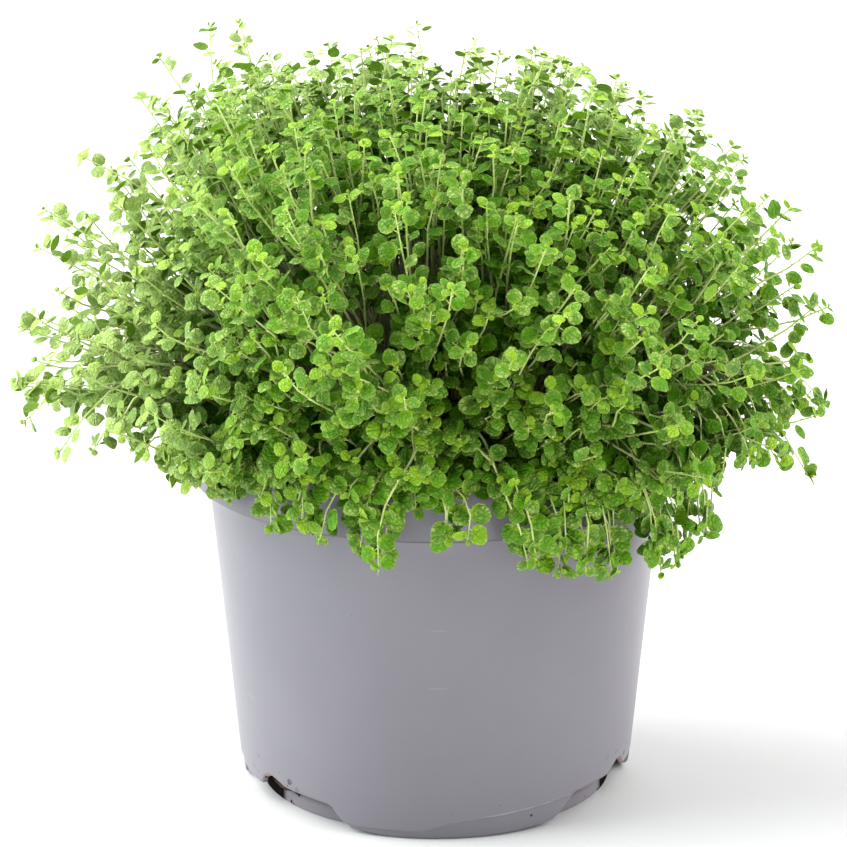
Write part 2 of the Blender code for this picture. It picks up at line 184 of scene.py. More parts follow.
# The collar's section, a radius and a height a point: up its outer side, over the rounded rim and down inside.
rim_inner = COLLAR_RADIUS - RIM_WALL
rounded = [(RIM_ROUNDING * (1 - math.cos(b)), RIM_ROUNDING * (1 - math.sin(b))) for b in np.radians([0, 30, 60, 90])]
collar = [(NECK_RADIUS + 0.0002, COLLAR_FOOT - 0.0001), (COLLAR_RADIUS - COLLAR_ROUNDING, COLLAR_FOOT)]
collar += [(COLLAR_RADIUS, COLLAR_FOOT + COLLAR_ROUNDING), (COLLAR_RADIUS, COLLAR_FOOT + 0.004)]
collar += [(COLLAR_RADIUS + 0.0001, (COLLAR_FOOT + POT_TOP) / 2), (COLLAR_RADIUS, POT_TOP - 0.004)]
collar += [(COLLAR_RADIUS - back, POT_TOP - down) for back, down in rounded]
collar += [(rim_inner + back, POT_TOP - down) for down, back in rounded]
collar += [(rim_inner, COLLAR_FOOT + 0.0030), (rim_inner - 0.0004, COLLAR_FOOT + 0.0016)]
collar_radius, collar_height = np.array(collar).T[:, :, None] * np.ones((1, 1, len(around)))
inner_height = outer_height[::-1]
inner_radius = wall_radius(inner_height) - WALL
wall_radii = np.concatenate([outer_radius, collar_radius, inner_radius])
wall_heights = np.concatenate([outer_height, collar_height, inner_height])
wall_points = round_z(wall_radii, around[None, :], wall_heights).reshape(-1, 3)
wall_faces = grid_faces(len(wall_radii), len(around), close_rows=True)

# The foot ring under the floor, a loop of a rounded section turned about Z.
ring_section = np.array(
    [(RING_INNER, FLOOR_LOW + 0.0002), (RING_INNER, 0.0004), (RING_INNER + 0.0003, 0.0), (RING_OUTER - 0.0005, 0.0)]
    + [(RING_OUTER - 0.0001, 0.0003), (RING_OUTER, 0.0008), (RING_OUTER, FLOOR_LOW + 0.0002)]
)
ring_around = np.arange(0.0, 360.0, 2.5)
ring_points = round_z(ring_section[:, :1], ring_around[None, :], ring_section[:, 1:]).reshape(-1, 3)
ring_faces = grid_faces(len(ring_section), len(ring_around), len(wall_points), close_rows=True)

# The floor, in six sectors. Each is spread between its hole's edge and the sector's outline, along rays from
# the hole's centre, and neighbours share the points of their straight sides.
half = math.pi / HOLE_COUNT
floor_edge = BASE_RADIUS - WALL + FLOOR_REACH
corner = math.degrees(math.atan2(floor_edge * math.sin(half), floor_edge * math.cos(half) - HOLE_RING))
rays = np.radians(np.unique(np.append(np.arange(-180.0, 180.0, 6.0), [corner, -corner])))
ray_count = len(rays)
ray_x, ray_y = np.sin(rays), np.cos(rays)
to_arc = -HOLE_RING * ray_y + np.sqrt((HOLE_RING * ray_y) ** 2 - HOLE_RING**2 + floor_edge**2)
with np.errstate(divide="ignore", invalid="ignore"):
    to_right = HOLE_RING * math.sin(half) / (ray_x * math.cos(half) - ray_y * math.sin(half))
    to_left = HOLE_RING * math.sin(half) / (-ray_x * math.cos(half) - ray_y * math.sin(half))
to_side = np.minimum(np.where(to_right > 0, to_right, 9.0), np.where(to_left > 0, to_left, 9.0))
outline = np.minimum(to_arc, to_side)
on_arc = to_arc < to_side + 1e-7
spread = np.array([1.0, 0.6, 0.25, 0.0, 0.0, 0.25, 0.6, 1.0])[:, None]
floor_heights = np.array([FLOOR_HIGH] * 4 + [FLOOR_LOW] * 4)[:, None]
distance = HOLE_RADIUS + (outline - HOLE_RADIUS)[None, :] * spread
sector_x = distance * ray_x
sector_y = HOLE_RING + distance * ray_y
sector_angle = np.degrees(np.arctan2(sector_x, sector_y))
sector_radius = np.hypot(sector_x, sector_y)
floor_parts = []
floor_faces = []
start = len(wall_points) + len(ring_points)
ray = np.arange(ray_count)
open_arc = on_arc & on_arc[(ray + 1) % ray_count]
for i in range(HOLE_COUNT):
    turned = sector_angle + 360.0 * (i + 0.5) / HOLE_COUNT
    floor_parts.append(round_z(sector_radius, turned, floor_heights).reshape(-1, 3))
    faces = grid_faces(len(spread), ray_count, start, close_rows=True)
    kept = np.concatenate([np.ones((len(spread) - 1) * ray_count, bool), open_arc])
    floor_faces.append(faces[kept])
    start += len(floor_parts[-1])

pot = put_in_mesh(
    "pot_shell",
    np.concatenate([wall_points, ring_points] + floor_parts),
    [wall_faces, ring_faces, np.concatenate(floor_faces)],
)

# The material reads how far each point of the wall is above the lower edge; the rest of the pot is set to 1 m.
above_edge = np.full(len(pot.data.vertices), 1.0, np.float32)
above_edge[: len(wall_points)] = (wall_heights - lower_edge).ravel()
pot.data.attributes.new("above_edge", "FLOAT", "POINT").data.foreach_set("value", above_edge)

loose = bmesh.new()
loose.from_mesh(pot.data)
bmesh.ops.remove_doubles(loose, verts=loose.verts, dist=0.000002)
loose.to_mesh(pot.data)
loose.free()
pot.data.set_sharp_from_angle(angle=math.radians(SHARP_ANGLE))


def add_node(tree, kind, inputs=None, **settings):
    """Adds a node to a tree, sets its settings, and sets or links its inputs."""
    node = tree.nodes.new(kind)
    for key, value in settings.items():
        setattr(node, key, value)
    for key, value in (inputs or {}).items():
        if isinstance(value, bpy.types.NodeSocket):
            tree.links.new(value, node.inputs[key])
        else:
            node.inputs[key].default_value = value
    return node


def maths(operation, *values):
    """The result of a Math node, in the tree of the linked values."""
    tree = next(value.id_data for value in values if isinstance(value, bpy.types.NodeSocket))
    return add_node(tree, "ShaderNodeMath", dict(enumerate(values)), operation=operation).outputs[0]


def times(first, second):
    """The product of two values."""
    return maths("MULTIPLY", first, second)


def gap_between(first, second):
    """The distance between two values."""
    return maths("ABSOLUTE", maths("SUBTRACT", first, second))


def ranged(value, low, high, to_low=0.0, to_high=1.0):
    """A value carried smoothly from one range to another."""
    inputs = {"Value": value, "From Min": low, "From Max": high, "To Min": to_low, "To Max": to_high}
    kind = "ShaderNodeMapRange"
    return add_node(value.id_data, kind, inputs, interpolation_type="SMOOTHSTEP").outputs["Result"]


def mixed(share, first, second):
    """Two colours mixed by a share."""
    colours = [value if isinstance(value, bpy.types.NodeSocket) else (*value, 1.0) for value in (first, second)]
    inputs = {0: share, 6: colours[0], 7: colours[1]}
    return add_node(share.id_data, "ShaderNodeMix", inputs, data_type="RGBA").outputs[2]


def axes_of(vector):
    """A vector's X, Y and Z."""
    return add_node(vector.id_data, "ShaderNodeSeparateXYZ", {"Vector": vector}).outputs


def pattern(group, place, **inputs):
    """The value of a pattern's node group at a place."""
    return add_node(place.id_data, "ShaderNodeGroup", {"Position": place, **inputs}, node_tree=group).outputs[0]


def new_group(name, inputs, outputs):
    """A shader node group with named float or vector inputs and float outputs."""
    tree = bpy.data.node_groups.new(name, "ShaderNodeTree")
    for title, kind, value in inputs:
        socket = tree.interface.new_socket(title, in_out="INPUT", socket_type=kind)
        if value is not None:
            socket.default_value = value
    for title in outputs:
        tree.interface.new_socket(title, in_out="OUTPUT", socket_type="NodeSocketFloat")
    return tree, tree.nodes.new("NodeGroupInput").outputs, tree.nodes.new("NodeGroupOutput")


def new_material(name, roughness):
    """A material, its tree, its Principled shader and the place on the object."""
    material = bpy.data.materials.new(name)
    material.use_nodes = True
    tree = material.node_tree
    shader = tree.nodes["Principled BSDF"]
    shader.inputs["Roughness"].default_value = roughness
    return material, tree, shader, add_node(tree, "ShaderNodeTexCoord").outputs["Object"]


def finish_shader(shader, colour, relief, strength, distance):
    """Links a shader's colour, and its normal as bumped by a relief."""
    tree = relief.id_data
    bump = add_node(tree, "ShaderNodeBump", {"Height": relief, "Strength": strength, "Distance": distance})
    tree.links.new(colour, shader.inputs["Base Color"])
    tree.links.new(bump.outputs[0], shader.inputs["Normal"])


# Clouding is a slow change of tone, and specks are crumbs of dirt: dots of random size in a share of the
# cells of a Voronoi pattern.
clouding, given, result = new_group(
    "clouding",
    [("Position", "NodeSocketVector", None), ("Scale", "NodeSocketFloat", 40.0)]
    + [("Low", "NodeSocketFloat", 0.35), ("High", "NodeSocketFloat", 0.65), ("Detail", "NodeSocketFloat", 4.0)],
    ["Value"],
)
noise_inputs = {"Vector": given["Position"], "Scale": given["Scale"], "Detail": given["Detail"]}
noise = add_node(clouding, "ShaderNodeTexNoise", noise_inputs).outputs["Fac"]
clouding.links.new(ranged(noise, given["Low"], given["High"]), result.inputs["Value"])

specks, given, result = new_group(
    "specks",
    [("Position", "NodeSocketVector", None), ("Scale", "NodeSocketFloat", 120.0)]
    + [("Size", "NodeSocketFloat", 0.2), ("Share", "NodeSocketFloat", 0.05)],
    ["Mask"],
)
cells = add_node(specks, "ShaderNodeTexVoronoi", {"Vector": given["Position"], "Scale": given["Scale"]})
chance = add_node(specks, "ShaderNodeSeparateColor", {"Color": cells.outputs["Color"]}).outputs
dot = ranged(maths("SUBTRACT", times(chance[1], given["Size"]), cells.outputs["Distance"]), 0.0, 0.05)
specks.links.new(times(dot, maths("LESS_THAN", chance[0], given["Share"])), result.inputs["Mask"])

plastic, tree, shader, place = new_material("pot_grey_plastic", PLASTIC_ROUGHNESS)
axes = axes_of(place)
height = axes["Z"]
colour = mixed(times(pattern(clouding, place, Scale=28.0), 0.35), PLASTIC, PLASTIC_WORN)

# Level scuffs are mostly low down, where dirt crusts on in patches. A few specks of dirt are everywhere.
low_down = ranged(height, 0.012, 0.004)
level = add_node(tree, "ShaderNodeMapping", {"Vector": place, "Scale": (0.10, 0.10, 1.0)}).outputs[0]
scuff = pattern(specks, level, Scale=420.0, Size=0.16, Share=0.035)
colour = mixed(times(scuff, maths("ADD", low_down, 0.06)), colour, PLASTIC_SCUFF_AND_HIGHLIGHT)
crust = times(pattern(clouding, place, Scale=60.0, Low=0.56, High=0.66), low_down)
crust = times(pattern(specks, place, Scale=520.0, Size=0.26, Share=0.22), crust)
dirty = maths("MAXIMUM", times(pattern(specks, place, Scale=150.0, Size=0.10, Share=0.035), 0.75), crust)
colour = mixed(dirty, colour, PLASTIC_DIRT_AND_SHADE)

# Behind the wall the plastic is stained, with painted shade high up under the skirt and darker beside each drain.
turn = times(maths("ARCTAN2", axes["X"], times(axes["Y"], -1.0)), 180.0 / math.pi)
from_drain = maths("ABSOLUTE", maths("WRAP", maths("SUBTRACT", turn, DRAINS[0]), 60.0, -60.0))
flat = add_node(tree, "ShaderNodeVectorMath", {0: place, 1: (1.0, 1.0, 0.0)}, operation="MULTIPLY").outputs[0]
from_axis = add_node(tree, "ShaderNodeVectorMath", {0: flat}, operation="LENGTH").outputs["Value"]
behind_wall = ranged(from_axis, BASE_RADIUS - WALL + 0.0004, BASE_RADIUS - WALL)
under_skirt_shade = times(behind_wall, ranged(height, 0.0026, 0.0052, 0.02, 0.80))
colour = mixed(times(behind_wall, 0.14), colour, PLASTIC_STAIN)
colour = mixed(under_skirt_shade, colour, PLASTIC_DIRT_AND_SHADE)
# Painted shade: beside each drain, what is behind the wall is darkened almost to black.
for middle in SLOT_SHADE_ANGLES:
    from_middle = maths("ABSOLUTE", maths("WRAP", maths("SUBTRACT", turn, middle), 180.0, -180.0))
    slot_shade = times(behind_wall, ranged(from_middle, 10.0, 6.5))
    colour = mixed(slot_shade, colour, SLOT_SHADE_COLOUR)
    under_skirt_shade = maths("MAXIMUM", under_skirt_shade, slot_shade)

# The cut-outs' edge is stained in blotches on the right and all round each drain.
above_edge = add_node(tree, "ShaderNodeAttribute", attribute_name="above_edge").outputs["Fac"]
near_edge = times(ranged(above_edge, 0.0016, 0.0003), ranged(height, 0.0040, 0.0050))
blotch = pattern(clouding, place, Scale=210.0, Low=0.46, High=0.60)
on_right = ranged(axes["X"], 0.002, 0.012)
stained = maths("MAXIMUM", times(blotch, on_right), ranged(from_drain, 10.0, 5.0))
colour = mixed(times(near_edge, stained), colour, PLASTIC_STAIN)

# Painted shade darkens the wall's under side behind each drain, and peat spatters the wall round it.
drain_shade = times(ranged(from_axis, BASE_RADIUS, BASE_RADIUS - 0.0005), ranged(height, 0.0060, 0.0076))
drain_shade = times(drain_shade, ranged(from_drain, 7.5, 6.0))
around_drain = times(ranged(from_drain, 14.0, 4.0), ranged(height, 0.0150, 0.0080))
spatter = times(pattern(specks, place, Scale=640.0, Size=0.62, Share=0.42), around_drain)
spatter_and_shade = maths("MAXIMUM", drain_shade, spatter)
colour = mixed(spatter_and_shade, colour, PLASTIC_DIRT_AND_SHADE)

# The step line over the front foot gets a painted highlight on its right, and painted shade lines the corner under the
# collar.
line_height = maths("ADD", times(axes["X"], 0.078), 0.0046)
step_highlight = times(ranged(blotch, 0.0, 1.0, 0.4, 1.0), on_right)
step_highlight = times(ranged(gap_between(height, line_height), 0.0003, 0.0001), step_highlight)
colour = mixed(times(step_highlight, 0.20), colour, PLASTIC_SCUFF_AND_HIGHLIGHT)
collar_shade = ranged(gap_between(height, COLLAR_FOOT - 0.0001), 0.0009, 0.0002)
colour = mixed(times(collar_shade, 0.7), colour, PLASTIC_DIRT_AND_SHADE)

grain = add_node(tree, "ShaderNodeTexNoise", {"Vector": place, "Scale": 1500.0, "Detail": 2.0}).outputs["Fac"]
ripple = add_node(tree, "ShaderNodeTexNoise", {"Vector": place, "Scale": 26.0, "Detail": 1.0}).outputs["Fac"]
finish_shader(shader, colour, maths("ADD", times(grain, 0.03), ripple), 0.35, 0.0012)
tree.links.new(maths("MULTIPLY_ADD", dirty, 0.4, PLASTIC_ROUGHNESS), shader.inputs["Roughness"])
# The specular level falls where the painted shade and the peat spatter lie.
clear_of_shade_and_peat = maths("SUBTRACT", 1.0, maths("MAXIMUM", under_skirt_shade, spatter_and_shade))
tree.links.new(times(clear_of_shade_and_peat, 0.38), shader.inputs["Specular IOR Level"])
pot.data.materials.append(plastic)
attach(pot, "root")
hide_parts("pot")


# Soil. The root ball of dark peat that fills the pot, level with crumbs and fibres on top. It is only seen in
# the hollows between the stems, and through the drain slots.
SOIL_TOP = 0.0840
SOIL_GAP = 0.0003
SOIL_RIPPLE = 0.0011
PEAT = (0.020, 0.013, 0.008)
PEAT_DRY = (0.070, 0.046, 0.030)
FIBRE = (0.16, 0.11, 0.07)
CRUMBS = 260
CRUMB_SIZE = (0.0007, 0.0022)
CRUMB_SPREAD = 0.0555
ROLL_HEIGHT = 0.0061
ROLL_SIZE = (0.0013, 0.0017)
soil_draw = np.random.default_rng(5)
waves = soil_draw.normal(size=(40, 2)) * soil_draw.uniform(60.0, 900.0, (40, 1))
wave_heights = 60.0 / np.hypot(*waves.T)
wave_starts = soil_draw.uniform(0.0, math.tau, 40)


def soil_surface(x, y):
    """Height of the soil: a level with forty random plane waves on it, the short ones lower."""
    phase = x[..., None] * waves[:, 0] + y[..., None] * waves[:, 1] + wave_starts
    return SOIL_TOP - SOIL_RIPPLE + SOIL_RIPPLE * (np.sin(phase) * wave_heights).sum(-1) / 2.2


def put_poles(points, columns):
    """Faces of a closed turned surface whose first and last points are its poles, its rows between them."""
    rows = (len(points) - 2) // columns
    column = np.arange(columns)
    after = (column + 1) % columns
    last = 1 + (rows - 1) * columns
    low = np.stack([np.zeros(columns, int), 1 + after, 1 + column], -1)
    high = np.stack([np.full(columns, len(points) - 1), last + column, last + after], -1)
    return [grid_faces(rows, columns, 1), np.concatenate([low, high])]


soil_around = np.arange(0.0, 360.0, 3.0)
rim_space = rim_inner - SOIL_GAP
neck_space = NECK_RADIUS - WALL - SOIL_GAP
side_radius = np.array([0.016, 0.032, BASE_RADIUS - WALL, neck_space, rim_space, rim_space])
side_height = np.array([FLOOR_HIGH + SOIL_GAP] * 3 + [COLLAR_FOOT, COLLAR_FOOT + 0.0019, SOIL_TOP - 0.0012])
top_radius = np.linspace(0.985 * rim_space, 0.0015, 30)
soil_radii = np.concatenate([side_radius, top_radius])[:, None]
soil_grid = round_z(soil_radii, soil_around[None, :], 0.0)
soil_grid[:6, :, 2] = side_height[:, None]
soil_grid[6:, :, 2] = soil_surface(soil_grid[6:, :, 0], soil_grid[6:, :, 1])
bottom_pole = [[0.0, 0.0, FLOOR_HIGH + SOIL_GAP]]
top_pole = [[0.0, 0.0, float(soil_surface(np.array(0.0), np.array(0.0)))]]
soil_points = np.concatenate([bottom_pole, soil_grid.reshape(-1, 3), top_pole])
soil_groups = put_poles(soil_points, len(soil_around))

# A crumb is a lump of three rings of six points between two poles, stretched and turned at random.
lump_up = np.repeat([-0.6, 0.0, 0.6], 6)
lump_out = np.repeat([0.75, 1.0, 0.75], 6)
lump_turn = np.tile(np.arange(6) * math.tau / 6, 3)
lump = np.stack([lump_out * np.cos(lump_turn), lump_out * np.sin(lump_turn), lump_up], -1)
lump = np.concatenate([[[0.0, 0.0, -1.0]], lump, [[0.0, 0.0, 1.0]]])
sizes = CRUMB_SIZE[0] + (CRUMB_SIZE[1] - CRUMB_SIZE[0]) * soil_draw.random((CRUMBS, 1, 1)) ** 2.5
crumbs = lump * sizes * soil_draw.uniform(0.55, 1.2, (CRUMBS, 1, 3))
crumbs *= soil_draw.uniform(0.8, 1.2, (CRUMBS, len(lump), 1))
swing = soil_draw.uniform(0.0, math.tau, (CRUMBS, 1))
lean = soil_draw.uniform(-0.8, 0.8, (CRUMBS, 1))
x = crumbs[..., 0] * np.cos(lean) + crumbs[..., 2] * np.sin(lean)
z = crumbs[..., 2] * np.cos(lean) - crumbs[..., 0] * np.sin(lean)
crumb_radius = CRUMB_SPREAD * np.sqrt(soil_draw.random((CRUMBS, 1)))
crumb_place = soil_draw.uniform(0.0, math.tau, (CRUMBS, 1))
middle_x, middle_y = crumb_radius * np.cos(crumb_place), crumb_radius * np.sin(crumb_place)
crumb_points = np.stack(
    [
        middle_x + x * np.cos(swing) - crumbs[..., 1] * np.sin(swing),
        middle_y + x * np.sin(swing) + crumbs[..., 1] * np.cos(swing),
        soil_surface(middle_x, middle_y) + z + 0.2 * sizes[..., 0],
    ],
    -1,
)
lump_groups = put_poles(lump, 6)
shift = len(soil_points) + np.arange(CRUMBS)[:, None, None] * len(lump)
soil_groups += [(group[None] + shift).reshape(-1, group.shape[1]) for group in lump_groups]

# Dark peat in the gap between wall and foot ring, behind each drain: a lumpy roll with its ends drawn in.
# The roll is painted shade, a dark thing put where the drain slots show only shade.
roll_middle = (RING_OUTER + BASE_RADIUS - WALL) / 2
roll_turn = np.linspace(-5.6, 5.6, 9)[:, None]
roll_size = np.sqrt(1.0 - (roll_turn / 6.4) ** 2) * soil_draw.uniform(0.80, 1.0, (9, 8))
roll_spin = np.arange(8) * math.tau / 8
roll_radius = roll_middle + ROLL_SIZE[0] * roll_size * np.cos(roll_spin)
roll_height = ROLL_HEIGHT - ROLL_SIZE[1] * roll_size * np.sin(roll_spin)
all_soil = [soil_points, crumb_points.reshape(-1, 3)]
start = len(soil_points) + CRUMBS * len(lump)
for middle in DRAINS:
    ends = round_z(roll_middle, middle + np.array([-6.2, 6.2]), ROLL_HEIGHT)
    roll = round_z(roll_radius, middle + roll_turn, roll_height).reshape(-1, 3)
    roll = np.concatenate([ends[:1], roll, ends[1:]])
    all_soil.append(roll)
    soil_groups += [group + start for group in put_poles(roll, 8)]
    start += len(roll)
soil = put_in_mesh("soil_root_ball", np.concatenate(all_soil), soil_groups)

peat, tree, shader, place = new_material("soil_peat", 0.92)
clouds, fine = (pattern(clouding, place, Scale=scale) for scale in (260.0, 1400.0))
colour = mixed(times(clouds, fine), PEAT, PEAT_DRY)
colour = mixed(pattern(specks, place, Scale=420.0, Size=0.4, Share=0.10), colour, FIBRE)
finish_shader(shader, colour, maths("ADD", clouds, fine), 0.8, 0.0006)
soil.data.materials.append(peat)
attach(soil, "root")
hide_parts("soil")


# Leafy tufts. Each of the plant's 38 tufts is a bundle of thin stems, rooted together in the soil, that fan out,
# arch and, at the rim, hang over the collar. A stem carries small round leaves on both sides in turn, on short
# stalks, and ends in a rosette of younger ones. Main stems are older, woody and light brown low down.
TUFTS = 38
TUFT_SHARE = 0.88
CROWN_RADIUS = 0.0965
CROWN_RISE = 0.0910
CROWN_WAIST = 0.0960
HANG_RADIUS = 0.0690
HANG_HEIGHT = 0.0720
CROWN_MIDDLE = np.array([0.0, 0.0, 0.0940])
ROOT_RING = 0.0470
ROOT_SPREAD = 0.0030
ROOT_DEPTH = 0.0025
TUFT_REACH = 0.76
GOLDEN = math.pi * (3.0 - math.sqrt(5.0))
OUTER, INNER, FAR, TRAIL, SPRIG = range(5)
STEMS = (1300, 330, 140)
CLUMPS = 210
CLUMP_PULL = 0.30
SWELL = 0.12
SHORTFALL = 0.18
SIDE_SHORTFALL = 0.14
SIDE_LOSS = 0.66
SIDE_BARE = 0.16
STEM_POINTS = 9
STEM_SIDES = 5
STEM_THIN = 0.00017
STEM_THICK = 0.00020
MAIN_STEM_WIDTH = 1.5
MAIN_STEM_LENGTH = 0.72
STALK_RADIUS = 0.00022
POT_MARGIN = 0.0021

# The crown isn't round. SKYLINE is how far it reaches by the angle over the viewer's right, and LOWER_EDGE is the
# height of its lower edge, and how far that overhangs, by the angle from the front. SPRIGS are loose stems at the
# crown's left and right: how far out and how high they end, in millimetres. TRAILS are the bunches that hang over
# the collar: an angle from the front, the lowest height and the number of stems.
SKYLINE = (
    (0, 0.955), (12, 0.91), (22, 0.99), (31, 1.03), (40, 1.04), (50, 0.99), (60, 0.99), (75, 1.0), (90, 1.02),
    (98, 1.05), (106, 1.05), (114, 1.12), (122, 1.17), (131, 1.15), (140, 1.00), (149, 1.03), (158, 0.98),
    (168, 1.04), (180, 0.98), (270, 0.97), (330, 0.99), (346, 1.02), (354, 0.97), (360, 0.955),
)
LOWER_EDGE = (
    (0, 0.101, 0.74), (25, 0.099, 0.78), (35, 0.086, 0.92), (45, 0.081, 0.97), (60, 0.083, 1.00),
    (82, 0.086, 1.00), (100, 0.080, 1.00), (125, 0.086, 0.97), (150, 0.080, 1.00), (180, 0.086, 0.97),
    (210, 0.080, 1.00), (240, 0.087, 1.00), (262, 0.090, 1.00), (285, 0.096, 0.97), (300, 0.095, 0.90),
    (315, 0.096, 0.85), (330, 0.098, 0.80), (345, 0.100, 0.75), (360, 0.101, 0.74),
)
SPRIGS = (
    (97, 95), (90, 94), (86, 106), (83, 88), (91, 82), (81, 80), (83, 126), (80, 146),
    (-101, 105), (-97, 96), (-101, 93), (-91, 91), (-83, 90), (-74, 86), (-99, 122), (-96, 113), (-97, 136),
    (-92, 152), (-84, 165), (-94, 142), (-80, 90),
)
TRAILS = (
    (-60, 0.087, 4), (-48, 0.084, 5), (-36, 0.082, 6), (-25, 0.081, 4), (-13, 0.076, 13), (-5, 0.086, 2),
    (6, 0.083, 3), (18, 0.077, 5), (25, 0.074, 5), (31, 0.070, 8), (39, 0.066, 9), (47, 0.067, 8),
    (55, 0.064, 8), (64, 0.068, 6), (74, 0.070, 7), (95, 0.078, 6), (128, 0.074, 8), (150, 0.080, 5),
    (175, 0.076, 7), (205, 0.074, 8), (232, 0.080, 5), (256, 0.084, 5),
)
# By kind of stem: how far outside its tip and how high it bends over the rim, and how much of it is bare. By a
# leaf's rank from the tip: its gap back from the tip, its length, its stalk and its age, and how steeply the
# rosette's leaves rise.
BEND_OUT = np.array([0.007, 0.007, 0.007, 0.001, -0.016])
BEND_HEIGHT = np.array([0.113, 0.113, 0.113, 0.101, 0.116])
BARE_PART = np.array([0.26, 0.18, 0.35, 0.15, 0.60])
LEAF_GAPS = np.array([0.0, 0.4, 0.9, 1.6, 3.1, 5.1, 7.4, 10.0, 12.9, 16.2, 20.0, 24.5]) * 0.001
LEAF_LENGTHS = np.array([1.2, 2.0, 3.0, 3.6, 4.0, 4.1, 4.1, 4.1, 4.0, 3.9, 3.9, 3.8]) * 0.001
STALKS = np.array([0.1, 0.2, 0.5, 0.8, 1.0, 1.1, 1.1, 1.1, 1.1, 1.1, 1.1, 1.1]) * 0.001
LEAF_AGES = np.array([0.0, 0.12, 0.3, 0.45, 0.6, 0.7, 0.8, 0.9, 1.0, 1.0, 1.0, 1.0])
RAISED = np.array([1.3, 0.6, 0.35, 0.2])
RANKS = len(LEAF_GAPS)
ROSETTE = len(RAISED)
LEAF_SIDES = 10
LEAF_WIDTH = 0.97
LEAF_SKIN = 0.00015
LEVEL = np.array([1.0, 1.0, 0.0])
draw = np.random.default_rng(21)
side_draw = np.random.default_rng(8)


def unit(vectors):
    """Vectors of length one."""
    return vectors / np.maximum(np.linalg.norm(vectors, axis=-1, keepdims=True), 1e-9)


def square_to(vectors, axes):
    """Unit vectors square to the axes, by taking away the part along each axis."""
    return unit(vectors - axes * (vectors * axes).sum(-1, keepdims=True))


# The crown's outline, a quarter ellipse from its top to its waist and from there an arc that comes back in. Its
# area down to each point gives even spacing.
quarter = np.linspace(0.0, math.pi / 2, 61)
down = np.linspace(0.05, 1.0, 20)
crown_radius = np.append(CROWN_RADIUS * np.sin(quarter), CROWN_RADIUS - (CROWN_RADIUS - HANG_RADIUS) * down**1.3)
crown_height = np.append(CROWN_WAIST + CROWN_RISE * np.cos(quarter), CROWN_WAIST - (CROWN_WAIST - HANG_HEIGHT) * down)
steps = np.hypot(np.diff(crown_radius), np.diff(crown_height))
crown_length = np.append(0.0, np.cumsum(steps))
crown_area = np.append(0.0, np.cumsum((crown_radius[1:] + crown_radius[:-1]) * steps))
radius_slope = np.gradient(crown_radius, crown_length)
height_slope = np.gradient(crown_height, crown_length)


def on_crown(share, azimuth):
    """Points and outward directions on the crown at shares of its area from the top, at angles from +X."""
    area = share * crown_area[-1]
    radius, height = (np.interp(area, crown_area, line) for line in (crown_radius, crown_height))
    out, up = -np.interp(area, crown_area, height_slope), np.interp(area, crown_area, radius_slope)
    side = np.stack([np.cos(azimuth), np.sin(azimuth)], -1)
    points = np.concatenate([side * radius[:, None], height[:, None]], 1)
    return points, unit(np.concatenate([side * out[:, None], up[:, None]], 1))


tuft = np.arange(TUFTS)
tuft_share = (tuft + 0.5) / TUFTS
tuft_tip = on_crown(tuft_share * TUFT_SHARE, tuft * GOLDEN)[0]
tuft_root = np.stack([np.cos(tuft * GOLDEN), np.sin(tuft * GOLDEN), np.zeros(TUFTS)], -1)
tuft_root *= (ROOT_RING * np.sqrt(tuft_share))[:, None]
tuft_root[:, 2] = SOIL_TOP
tuft_end = tuft_root + (tuft_tip - tuft_root) * TUFT_REACH
tuft_bend = tuft_root + 0.10 * (tuft_end - tuft_root) * LEVEL
tuft_bend[:, 2] += 0.018 + 0.024 * tuft_share

# Where the stems end: most just under the crown's outline, gathered a little into clumps, some deep inside, a few
# outside it, then the trailing bunches and the sprigs. The crown's left and right are more open: fewer stems are
# kept there, and they end at more varied depths.
shares = [(np.arange(many) + 0.5) / many for many in STEMS]
share = np.concatenate([0.97 * shares[OUTER], 0.80 * shares[INNER], 0.06 + 0.74 * shares[FAR]])
kind = np.repeat([OUTER, INNER, FAR], STEMS)
count = len(share)
turns = np.concatenate([np.arange(many) for many in STEMS]) * GOLDEN
turns += draw.normal(0.0, 0.05, count) + np.array([0.0, 1.0, 2.3])[kind]
tip, outward = on_crown(np.clip(share + draw.normal(0.0, 0.006, count), 0.001, 0.999), turns)
swell_waves = draw.normal(size=(3, 10)) * np.linspace(2.0, 7.0, 10)
swell = np.sin(outward @ swell_waves + draw.uniform(0.0, math.tau, 10)).mean(1)
reach = 0.985 + SWELL * swell - SHORTFALL * draw.random(count) ** 1.5
reach[kind == INNER] = draw.uniform(0.70, 0.92, STEMS[INNER])
far_out = outward[kind == FAR]
reach[kind == FAR] = draw.uniform(0.95, 1.03, STEMS[FAR]) + 0.07 * np.abs(far_out[:, 0]) ** 3
reach[kind == FAR] += 0.06 * np.maximum(-far_out[:, 1], 0.0) ** 3
sideways = smooth_step(np.abs(outward[:, 0]), 0.50, 0.80)
reach = reach - SIDE_SHORTFALL * sideways * side_draw.random(count) ** 2 * (kind == OUTER)
clump = on_crown((np.arange(CLUMPS) + 0.5) / CLUMPS, np.arange(CLUMPS) * GOLDEN + draw.normal(0.0, 0.09, CLUMPS))[0]
nearest = np.linalg.norm(tip[:, None] - clump[None], axis=2).argmin(1)
pull = np.where(kind == OUTER, CLUMP_PULL, 0.0)[:, None]
tip = tip + (clump[nearest] - tip) * pull * draw.uniform(0.3, 1.5, (count, 1))

edge_turn, edge_height, edge_reach = np.array(LOWER_EDGE).T


def angle_from_front(points):
    """The angle of points round Z from the front, 0 to 360 degrees."""
    return np.degrees(np.arctan2(points[..., 0], -points[..., 1])) % 360.0


def drawn_in(points):
    """The share of the crown's full radius that it has round these points: less at its lower edge in front."""
    reach_there = np.interp(angle_from_front(points), edge_turn, edge_reach)
    return 1.0 - (1.0 - reach_there) * (1.0 - smooth_step(points[..., 2], 0.102, 0.140))


